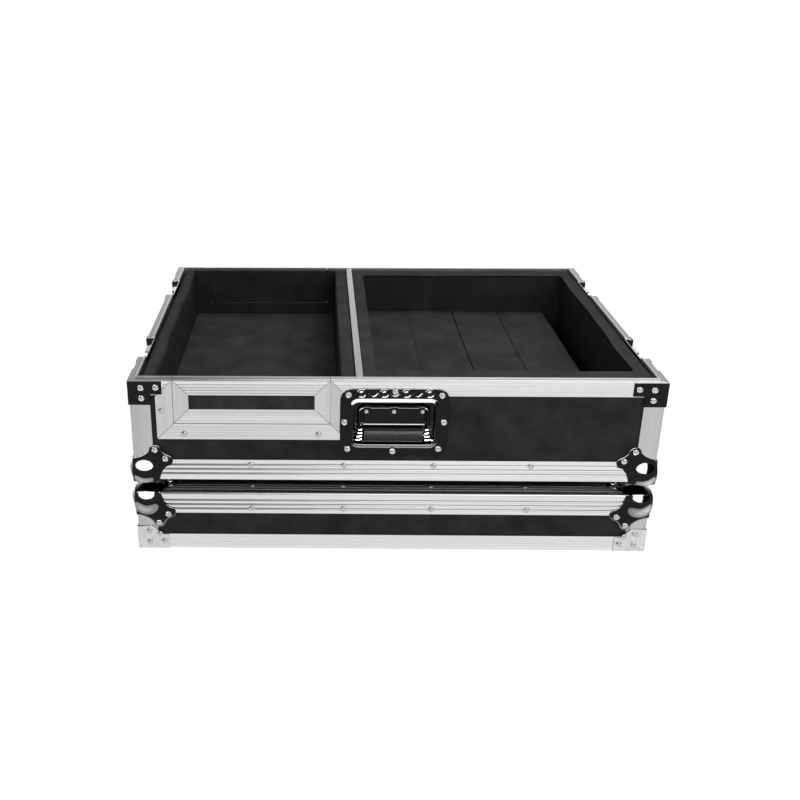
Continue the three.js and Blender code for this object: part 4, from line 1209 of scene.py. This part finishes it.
# Recessed handle: a dish pressed from dark chromed steel sheet, with a raised lip round its
# well, and studs and curved ridges above. A strap riveted in the well carries the bail's hinge.
handle_middle = -1.7 * mm
well_left, well_right = handle_middle - 61.5 * mm, handle_middle + 61.5 * mm
well_low, well_high = 178.3 * mm, 250.8 * mm
well_depth = 13.7 * mm
well_round = 8 * mm
dish_sheet = 1.2 * mm
dish_beside, dish_below, dish_above = 17.5 * mm, 15.9 * mm, 18.6 * mm
dish_round = 18 * mm
dish_front = -1.8 * mm
lip_low, lip_high, lip_beside = 2.2 * mm, 3.2 * mm, 1.5 * mm
least_round = 2 * mm
dish_loops = [
    ("plate", 0, -0.3 * mm), ("plate", 0, -1.2 * mm), ("plate", -0.2 * mm, -1.65 * mm),
    ("plate", -0.7 * mm, dish_front), ("plate", -1.1 * mm, dish_front), ("lip", 6.6 * mm, dish_front),
    ("lip", 6.2 * mm, dish_front), ("lip", 5.2 * mm, -2.1 * mm),
    ("lip", 4 * mm, -2.7 * mm), ("lip", 2.8 * mm, -3.4 * mm), ("lip", 1.6 * mm, -3.9 * mm),
    ("lip", 0.5 * mm, -4 * mm), ("lip", -0.4 * mm, -3.6 * mm), ("lip", -0.9 * mm, -2.7 * mm),
    ("lip", -1 * mm, -1.4 * mm), ("lip", -0.6 * mm, 0), ("well", -1 * mm, 2.5 * mm),
    ("well", -1.2 * mm, 10.6 * mm), ("well", -1.8 * mm, 12.4 * mm), ("well", -3.2 * mm, 13.4 * mm),
    ("well", -5.4 * mm, well_depth)]
stud_level = 262 * mm
stud_places = [-49.8 * mm, -16.9 * mm, 15 * mm, 48.3 * mm]
stud_rings = [(7.4, -0.2), (7.2, 0.5), (6.5, 0.9), (5.8, 0.6), (5.1, 0.05), (3.9, 0), (3.3, 0.5),
              (2.3, 1.0), (1.3, 1.2), (0.6, 1.0)]
ridge_places = [-32.3 * mm, 31.1 * mm]
ridge_half, ridge_low, ridge_high = 6.6 * mm, 256.4 * mm, 261.7 * mm
ridge_bend = 3 * mm
saucer_radius = 7 * mm
saucer_level = 264 * mm
saucer_turns, saucer_steps = (205, 335), 16
ridge_radius, ridge_proud, ridge_sides = 2.6 * mm, 1.1 * mm, 32
dish_top = well_high + dish_above
strap_low, strap_high = 209.8 * mm, 236.2 * mm
strap_bump, strap_bump_half, bump_steps = 1.4 * mm, 7 * mm, 8
strap_half = 45 * mm
strap_front, strap_back = 4.5 * mm, 5.9 * mm
strap_sheet = strap_back - strap_front
strap_edge = 0.35 * mm
strap_hem = 2 * mm
strap_tab = (213 * mm, 229 * mm)
pivot_level, pivot_inset = 234 * mm, 8.6 * mm
knuckle_radius = 3.7 * mm
knuckles = [(-45, -30), (-23, -14), (11, 20), (29, 44)]
strap_rivet_places = [-42.4, -1.7, 39.9]
lathe_steps = 24


def dish_loop(of, grow, inset):
    """Points round the plate, the lip or the well, grown by so much and set in so deep."""
    if of == "plate":
        outline = round_cornered(well_left - dish_beside - grow, well_right + dish_beside + grow,
                                 well_low - dish_below - grow, dish_top + grow, dish_round + grow)
    else:
        low, high, beside = (lip_low, lip_high, lip_beside) if of == "lip" else (0, 0, 0)
        outline = round_cornered(well_left + beside - grow, well_right - beside + grow,
                                 well_low + low - grow, well_high - high + grow,
                                 max(well_round + grow, least_round))
    return [(u, inset, v) for u, v in outline]


def lathed(rings, axis, place, segments=lathe_steps):
    """Rings of (radius, distance) along an axis from a place, closed at both ends."""
    turned = []
    for radius, along in rings:
        outline = arc((0, 0), radius, 0, 360, segments)[:-1]
        turned.append([Vector(place) + Vector(axes[axis](along, u, v)) for u, v in outline])
    return lofted(turned)


def stud(rings, x, inset, z):
    """A round form on a front face; rings are (radius, height) in millimetres."""
    return lathed([(radius * mm, -height * mm) for radius, height in rings], "y", (x, inset, z))


def swept(path, radius, sides):
    """Round wire along a path of points, closed at its ends."""
    loops = []
    across = (path[1] - path[0]).orthogonal()
    for n, point in enumerate(path):
        ahead = (path[min(n + 1, len(path) - 1)] - path[max(n - 1, 0)]).normalized()
        across = (across - across.dot(ahead) * ahead).normalized()
        up = ahead.cross(across)
        loops.append([point + u * across + v * up for u, v in arc((0, 0), radius, 0, 360, sides)[:-1]])
    return lofted(loops)


pressing = lofted([dish_loop(*loop) for loop in dish_loops])
back_of_plate = max(pressing.faces, key=lambda face: face.calc_area())
bmesh.ops.delete(pressing, geom=[back_of_plate], context="FACES_ONLY")
dish = piece("handle_dish_pressing", on_wall(pressing, "front"), dark_chrome,
             "tray", "dark_chrome", "handle_dish")
thick = dish.modifiers.new("sheet_thickness", "SOLIDIFY")
thick.thickness = dish_sheet
thick.offset = -1

trim = [stud(stud_rings, x, dish_front, stud_level) for x in stud_places]
ridges = []
for x in ridge_places:
    start, middle, end = (x - ridge_half, ridge_high), (x, ridge_low), (x + ridge_half, ridge_high)
    ridges.append([start, *curve(start, (x - ridge_bend, ridge_low), middle), middle,
                   *curve(middle, (x + ridge_bend, ridge_low), end), end])
ridges.append(arc((handle_middle, saucer_level), saucer_radius, *saucer_turns, saucer_steps))
for ridge in ridges:
    line = [Vector((u, dish_front - ridge_proud + ridge_radius, v)) for u, v in ridge]
    trim.append(swept(line, ridge_radius, ridge_sides))
piece("handle_dish_embossing", on_wall(merged(*trim), "front"), dark_chrome, "tray", "dark_chrome")

strap_top = [(handle_middle + strap_half, strap_high), (handle_middle - strap_half, strap_high)]
for x in strap_rivet_places:
    bump = [(x * mm + strap_bump_half * math.cos(t), strap_high + strap_bump * math.sin(t))
            for t in (math.pi * k / bump_steps for k in range(bump_steps + 1))]
    strap_top += [p for p in bump if abs(p[0] - handle_middle) < strap_half]
strap_top.sort(key=lambda p: -p[0])
outline = [(handle_middle - strap_half, strap_low), (handle_middle + strap_half, strap_low), *strap_top]
strap = [extruded(outline, "y", strap_front, strap_back)]
strap.append(lathed([(strap_hem, -strap_half), (strap_hem, strap_half)], "x",
                    (handle_middle, strap_front + strap_hem / 2, strap_low)))
for end in (-1, 1):
    outer, inner = (handle_middle + end * reach for reach in (strap_half, strap_half - strap_sheet))
    outline = [(strap_front, strap_tab[0]), (strap_front, strap_tab[1]), (well_depth, strap_tab[1]),
               (well_depth, strap_tab[0])]
    strap.append(extruded(outline, "x", *sorted((outer, inner))))
for start, end in knuckles:
    rings = [(knuckle_radius, start * mm), (knuckle_radius, end * mm)]
    strap.append(lathed(rings, "x", (handle_middle, pivot_inset, pivot_level)))
made = piece("handle_strap", on_wall(merged(*strap), "front"), dark_chrome, "tray", "dark_chrome")
ease_edges(made, strap_edge, segments=2, angle=50)

# Bail and grip: a chromed steel rod bent to a U and hung in the strap, two coil springs that
# pull it back into the dish, and a black rubber grip moulded over the rod.
rod_radius = 2.5 * mm
bail_half = 50.5 * mm
rod_end = 30 * mm
grip_level, grip_inset = 192 * mm, 6.2 * mm
elbow_round = 6 * mm
elbow_steps = 8
rod_sides = 16
spring_place, spring_radius, spring_wire = 48.6 * mm, 4.4 * mm, 1.6 * mm
spring_pitch, spring_turns, spring_steps, spring_sides = 5.4 * mm, 4.4, 20, 8
spring_start, spring_spread = 182.2 * mm, 3.7 * mm
grip_half, grip_high, grip_deep = 43 * mm, 19 * mm, 12.5 * mm
grip_round = 2.6 * mm
grip_crown = 0.9 * mm
grip_edge = 0.8 * mm
crown_rows = [(k * mm, 0) for k in range(-5, 6)]
grip_grooves = [-6.6 * mm, 6.6 * mm]
grip_groove_width, grip_groove_depth = 1.4 * mm, 0.5 * mm
rivet_pale, rivet_dark = (0.55, 0.55, 0.56), (0.42, 0.42, 0.43)
rivet_roughness = (0.2, 0.34)
rivet_per_metre = 500
spring_pale, spring_dark = (0.11, 0.11, 0.112), (0.07, 0.07, 0.072)
spring_roughness = (0.1, 0.18)
rubber_dark, rubber_pale = (0.013, 0.013, 0.013), (0.024, 0.024, 0.024)
rubber_roughness = (0.38, 0.5)
rubber_shine = 0.022
rubber_per_metre = 420
rubber_relief = 0.00008

rivet_steel = new_finish("rivet_steel", rivet_pale, 1, rivet_roughness[1])
handling = pattern(rivet_steel, rivet_per_metre, detail=4)
vary_colour(rivet_steel, handling, rivet_dark, rivet_pale)
vary_roughness(rivet_steel, handling, *rivet_roughness)
spring_steel = new_finish("spring_steel", spring_pale, 1, spring_roughness[1])
oiling = pattern(spring_steel, rivet_per_metre, detail=4)
vary_colour(spring_steel, oiling, spring_dark, spring_pale)
vary_roughness(spring_steel, oiling, *spring_roughness)
rubber = new_finish("black_rubber", rubber_pale, 0, rubber_roughness[1], rubber_shine)
mould_marks = pattern(rubber, rubber_per_metre, detail=4)
vary_colour(rubber, mould_marks, rubber_dark, rubber_pale)
vary_roughness(rubber, mould_marks, *rubber_roughness)
add_relief(rubber, mould_marks, rubber_relief)


def on_bail(x, level):
    """A point of the bail's slightly leaning plane, drawn for the front wall."""
    share = (level - pivot_level) / (grip_level - pivot_level)
    return Vector((handle_middle + x, pivot_inset + share * (grip_inset - pivot_inset), level))


bend = rounded([
    (-rod_end, pivot_level), (-bail_half, pivot_level, elbow_round),
    (-bail_half, grip_level, elbow_round), (bail_half, grip_level, elbow_round),
    (bail_half, pivot_level, elbow_round), (rod_end, pivot_level)], elbow_steps)
bail = [swept([on_bail(u, v) for u, v in line], rod_radius, rod_sides)
        for line in (bend, [(u, pivot_level) for u in (-rod_end, 0, rod_end)])]
springs = []
for end in (-1, 1):
    path = []
    for n in range(round(spring_turns * spring_steps) + 1):
        turns = n / spring_steps
        turn = 2 * math.pi * turns
        spread = spring_spread * (1 - turns / spring_turns) ** 2
        middle = on_bail(end * (spring_place + spread), spring_start + spring_pitch * turns)
        path.append(middle + Vector(((spring_radius + spread) * math.cos(turn),
                                     spring_radius * math.sin(turn), 0)))
    springs.append(swept(path, spring_wire, spring_sides))
piece("handle_bail_rod", on_wall(merged(*bail), "front"), dark_chrome, "handle", "dark_chrome", "handle_bail")
piece("handle_springs", on_wall(merged(*springs), "front"), spring_steel,
      "handle", "galvanised_steel", "handle_bail")

half_high, half_deep = grip_high / 2, grip_deep / 2
front_of_grip = sorted(dips(grip_grooves, grip_groove_width, grip_groove_depth) + crown_rows)
groove = [(depth - half_deep - grip_crown * (1 - (along / half_high) ** 2), along)
          for along, depth in front_of_grip]
section = rounded([
    (-half_deep, -half_high, grip_round), *groove, (-half_deep, half_high, grip_round),
    (half_deep, half_high, grip_round), (half_deep, -half_high, grip_round)])
section = [(u + grip_inset, v + grip_level) for u, v in section]
grip = extruded(section, "x", handle_middle - grip_half, handle_middle + grip_half)
made = piece("handle_grip_rubber", on_wall(grip, "front"), rubber, "handle", "black_rubber", "handle_grip")
ease_edges(made, grip_edge, segments=3, angle=50)

# Latches: two butterfly latches on each side, in dark chromed dishes let into the plywood of
# the tray, with a keeper below each in the lid. Turning the wing drives the hook up or down.
hub_below_rim = 34 * mm
hub_level = rim_level - hub_below_rim
hub_rings = [(12.2, 5.05), (12.6, 5), (13, 5.5), (13, 8.2), (12.6, 8.5)]
spindle_rings = [(2.5, 6), (2.5, 11.2)]
crank_rings = [(2, 6), (2, 11)]
crank_radius = 6 * mm
boss_rings = [(5.6, 5.2), (5.4, 4.5), (4.6, 4.2), (0.5, 4.1)]
ear_start, ear_end = 7.3 * mm, 10.3 * mm
ear_front, ear_back, ear_half, ear_round = 1.2 * mm, 6.8 * mm, 3 * mm, 2.4 * mm
wing_reach, wing_half, wing_neck = 24 * mm, 21 * mm, 4.5 * mm
wing_inset, wing_thick = 3 * mm, 2.4 * mm
wing_corner, wing_edge, wing_steps = 2 * mm, 0.5 * mm, 12
wing_barrel, wing_pin, pin_sides = 1.7 * mm, 1 * mm, 16
scallop_centre, wing_scallop, scallop_steps = -27 * mm, 6 * mm, 10
neck_half = 7 * mm
latch_edge = 0.4 * mm
latches = {
    "front_left": ("left", 1),
    "rear_left": ("left", -1),
    "front_right": ("right", -1),
    "rear_right": ("right", 1),
}


def wing_outline():
    """Two lobes below the hinge, with a finger scallop between them."""
    side = math.degrees(math.acos(wing_half / wing_reach))
    drop = (wing_reach ** 2 - wing_scallop ** 2 + scallop_centre ** 2) / (2 * scallop_centre)
    meets = math.degrees(math.asin(-drop / wing_reach))
    bite = math.degrees(math.asin((drop - scallop_centre) / wing_scallop))
    return rounded([
        (neck_half, 0), (neck_half, -wing_neck), (wing_half, -wing_neck, wing_corner),
        *arc((0, 0), wing_reach, -side, -meets, wing_steps),
        *arc((0, scallop_centre), wing_scallop, bite, 180 - bite, scallop_steps)[1:-1],
        *arc((0, 0), wing_reach, 180 + meets, 180 + side, wing_steps),
        (-wing_half, -wing_neck, wing_corner), (-neck_half, -wing_neck), (-neck_half, 0)])


def in_metres(rings):
    return [(radius * mm, along * mm) for radius, along in rings]


for latch, (side, end) in latches.items():
    place = end * latch_place
    for node in ("dish", "keeper", "hook"):
        soften(f"latch_{node}_{latch}", dark_chrome, latch_edge)
    hub = (place, 0, hub_level)
    rotor = [lathed(in_metres(rings), "y", hub) for rings in (hub_rings, boss_rings, spindle_rings)]
    rotor.append(lathed(in_metres(crank_rings), "y", (place, 0, hub_level - crank_radius)))
    for ear in (-1, 1):
        outline = rounded([
            (ear_front, hub_level - ear_half, ear_round), (ear_front, hub_level + ear_half, ear_round),
            (ear_back, hub_level + ear_half), (ear_back, hub_level - ear_half)])
        rotor.append(extruded(outline, "x", place + ear * ear_start, place + ear * ear_end))
    piece(f"latch_hub_{latch}", on_wall(merged(*rotor), side), dark_chrome, f"rotor_{latch}",
          "dark_chrome", f"latch_rotor_{latch}")
    outline = [(place + u, hub_level + v) for u, v in wing_outline()]
    wing = [extruded(outline, "y", wing_inset - wing_thick / 2, wing_inset + wing_thick / 2)]
    for radius, reach in ((wing_barrel, neck_half), (wing_pin, ear_end - fit)):
        rings = [(radius, -reach), (radius, reach)]
        wing.append(lathed(rings, "x", (place, wing_inset, hub_level), pin_sides))
    made = piece(f"latch_lobes_{latch}", on_wall(merged(*wing), side), dark_chrome, f"wing_{latch}",
                 "dark_chrome", f"latch_wing_{latch}")
    ease_edges(made, wing_edge, segments=3)

# Rivets: domed steel heads with a small dimple in the middle, along the edging and in every
# plate, dish and pressing. Each piece here is all the rivets of one kind on one body.
head_rings = [(4.65, -0.3), (4.65, 0.25), (4.3, 0.95), (3.6, 1.55), (2.6, 2.05), (1.6, 2.3),
              (1.2, 2.2), (0.7, 1.6)]
head_segments = 14
small_head, latch_head = 0.68, 0.9
plate_proud = 1.8 * mm
flange_proud = 1.5 * mm
band_along = {
    "front": [-213 * mm, -74 * mm, 59.5 * mm, 203.4 * mm],
    "rear": [-204 * mm, -68 * mm, 68 * mm, 204 * mm],
    "left": [-190 * mm, -63 * mm, 63 * mm, 190 * mm],
    "right": [-190 * mm, -63 * mm, 63 * mm, 190 * mm],
}
band_rise = 26 * mm
top_inset = 25.5 * mm
far_along = 339 * mm
surround_rivets = [(-342, 232), (-310, 195), (-112, 195)]
bracket_rivets = [(17.8, 268.6), (39.5, 269.3), (17.9, 252.4)]
petal_rivets = [(32.5, 51.2), (47.6, 36.4)]
brace_rivets = [(16.3, 31), (32.7, 26), (16.2, 11.2), (38.8, 12.9)]
dish_rivets = [(-68.6, 259.4), (66.3, 259), (-74.4, 216), (71, 216.7), (-69.6, 172.7),
               (-2.5, 169), (64.9, 173.4), (-1.4, 264.7)]
strap_rivets = [(x, 230.6) for x in strap_rivet_places]
latch_rivets = [(-49.5, 273), (49.5, 273), (-49.5, 215), (49.5, 215), (0, 213.4)]
keeper_rivets = [(-49.5, 7), (49.5, 7), (-49.5, 53.5), (49.5, 53.5), (0, 54.5)]

head_mesh = bpy.data.meshes.new("rivet_head")
head = lathed(in_metres(head_rings), "z", (0, 0, 0), head_segments)
head.to_mesh(head_mesh)
head.free()


def rivets(name, places, body, size=1):
    """One piece of many rivet heads; each place is a point and the way its head faces."""
    whole = bmesh.new()
    for point, facing in places:
        start = len(whole.verts)
        whole.from_mesh(head_mesh)
        whole.verts.ensure_lookup_table()
        turn = Vector(facing).to_track_quat("Z", "Y").to_matrix().to_4x4()
        bmesh.ops.transform(whole, matrix=Matrix.Translation(point) @ turn @ Matrix.Scale(size, 4),
                            verts=whole.verts[start:])
    return piece(name, whole, rivet_steel, body, "galvanised_steel", crease=60)


def on_side(side, along, level, proud=0):
    """A rivet's place on a wall's outer face; along runs left to right as seen from outside."""
    turn, reach, _ = walls[side]
    out = Matrix.Rotation(turn, 3, "Z")
    return out @ Vector((along, -reach - proud, level)), out @ Vector((0, -1, 0))


def on_flat(side, along, inset, level, up):
    """A rivet's place on the lid's top or the tray's underside, near a wall."""
    turn, reach, _ = walls[side]
    return Matrix.Rotation(turn, 3, "Z") @ Vector((along, inset - reach, level)), Vector((0, 0, up))


def round_corners(pairs, level_of):
    """The same rivets on both upright faces of every corner."""
    for x_sign, y_sign in corner_signs.values():
        for across, height in pairs:
            level = level_of(height * mm)
            place = (x_sign * (across * mm - half_width), y_sign * (-half_depth - plate_proud), level)
            yield Vector(place), Vector((0, -y_sign, 0))
            place = (x_sign * (-half_width - plate_proud), y_sign * (across * mm - half_depth), level)
            yield Vector(place), Vector((-x_sign, 0, 0))


def over_corners(pairs, level, up):
    """The same rivets on every corner's upper face, or on its lower one where up is -1."""
    for x_sign, y_sign in corner_signs.values():
        for across, deep in pairs:
            place = (x_sign * (across * mm - half_width), y_sign * (deep * mm - half_depth),
                     level + up * plate_proud)
            yield Vector(place), Vector((0, 0, up))


band = {"tray": [], "lid": []}
for side, places in band_along.items():
    band["tray"] += [on_side(side, along, tray_bottom + band_rise) for along in places]
    band["lid"] += [on_side(side, along, lid_top - band_rise) for along in places]
    ends = [-far_along, far_along] if side in ("front", "rear") else []
    band["tray"] += [on_flat(side, along, top_inset, tray_bottom, -1) for along in places + ends]
    band["lid"] += [on_flat(side, along, top_inset, lid_top, 1) for along in places + ends]
rivets("tray_edging_rivets", band["tray"], "tray")
rivets("lid_edging_rivets", band["lid"], "lid")
surround = [on_side(side, sign * x * mm, z * mm) for side, sign in (("front", 1), ("rear", -1))
            for x, z in surround_rivets]
rivets("surround_rivets", surround, "tray")
rivets("tray_bracket_rivets", round_corners(bracket_rivets, lambda z: z), "tray")
rivets("lid_brace_rivets", round_corners(brace_rivets, lambda z: z), "lid")
for body, level, up in (("tray", tray_bottom, 1), ("lid", lid_top, -1)):
    petals = [*round_corners(petal_rivets, lambda z: level + up * z),
              *over_corners(petal_rivets, level, -up)]
    rivets(f"{body}_ball_corner_rivets", petals, body)
rivets("handle_rivets", [on_side("front", x * mm, z * mm, -dish_front) for x, z in dish_rivets], "tray")
spots = [on_side("front", x * mm, z * mm, -strap_front) for x, z in strap_rivets]
rivets("strap_rivets", spots, "tray", small_head)
for body, places in (("tray", latch_rivets), ("lid", keeper_rivets)):
    spots = [on_side(side, end * latch_place + x * mm, z * mm, flange_proud)
             for side, end in latches.values() for x, z in places]
    rivets(f"{body}_latch_rivets", spots, body, latch_head)

# Highlights: soft lamps that only the plated pieces, the rubber and the springs mirror. A very
# large one in front makes the white patch on each ball, strips just above the floor make the
# crescent below it, and those behind and beside the case light its rims.
highlights = {
    "window": {"place": (-0.5, -1.5, 0.98), "size": (3.5, 1.9), "bright": 80, "aim": (0.35, 1.25, -0.8)},
    "foot_front": {"place": (0, -0.338, 0.003), "size": (1.3, 0.058), "bright": 15, "aim": (0, 0, 1)},
    "foot_left": {"place": (-0.44, 0.05, 0.003), "size": (0.05, 0.9), "bright": 1.5, "aim": (0, 0, 1)},
    "foot_right": {"place": (0.44, 0.05, 0.003), "size": (0.05, 0.9), "bright": 1.5, "aim": (0, 0, 1)},
    "back": {"place": (0, 2.4, 1.25), "size": (4, 1.3), "bright": 3, "aim": (0, -1, -0.42)},
    "rim_left": {"place": (-1.7, 0.9, 0.7), "size": (2.4, 1.5), "bright": 1, "aim": (1.4, -1.1, -0.5)},
    "rim_right": {"place": (1.7, 0.9, 0.7), "size": (2.4, 1.5), "bright": 1, "aim": (-1.4, -1.1, -0.5)},
}
mirrors = (dark_chrome, rubber, spring_steel)
chromed = bpy.data.collections.new("chromed_pieces")
for made in bpy.data.objects:
    if made.type == "MESH" and made.data.materials and made.data.materials[0] in mirrors:
        chromed.objects.link(made)
for name, lamp in highlights.items():
    power = lamp["bright"] * math.pi * lamp["size"][0] * lamp["size"][1]
    holder = soft_lamp(name, lamp["place"], lamp["size"], power, lamp["aim"])
    holder.visible_diffuse = False
    holder.light_linking.receiver_collection = chromed
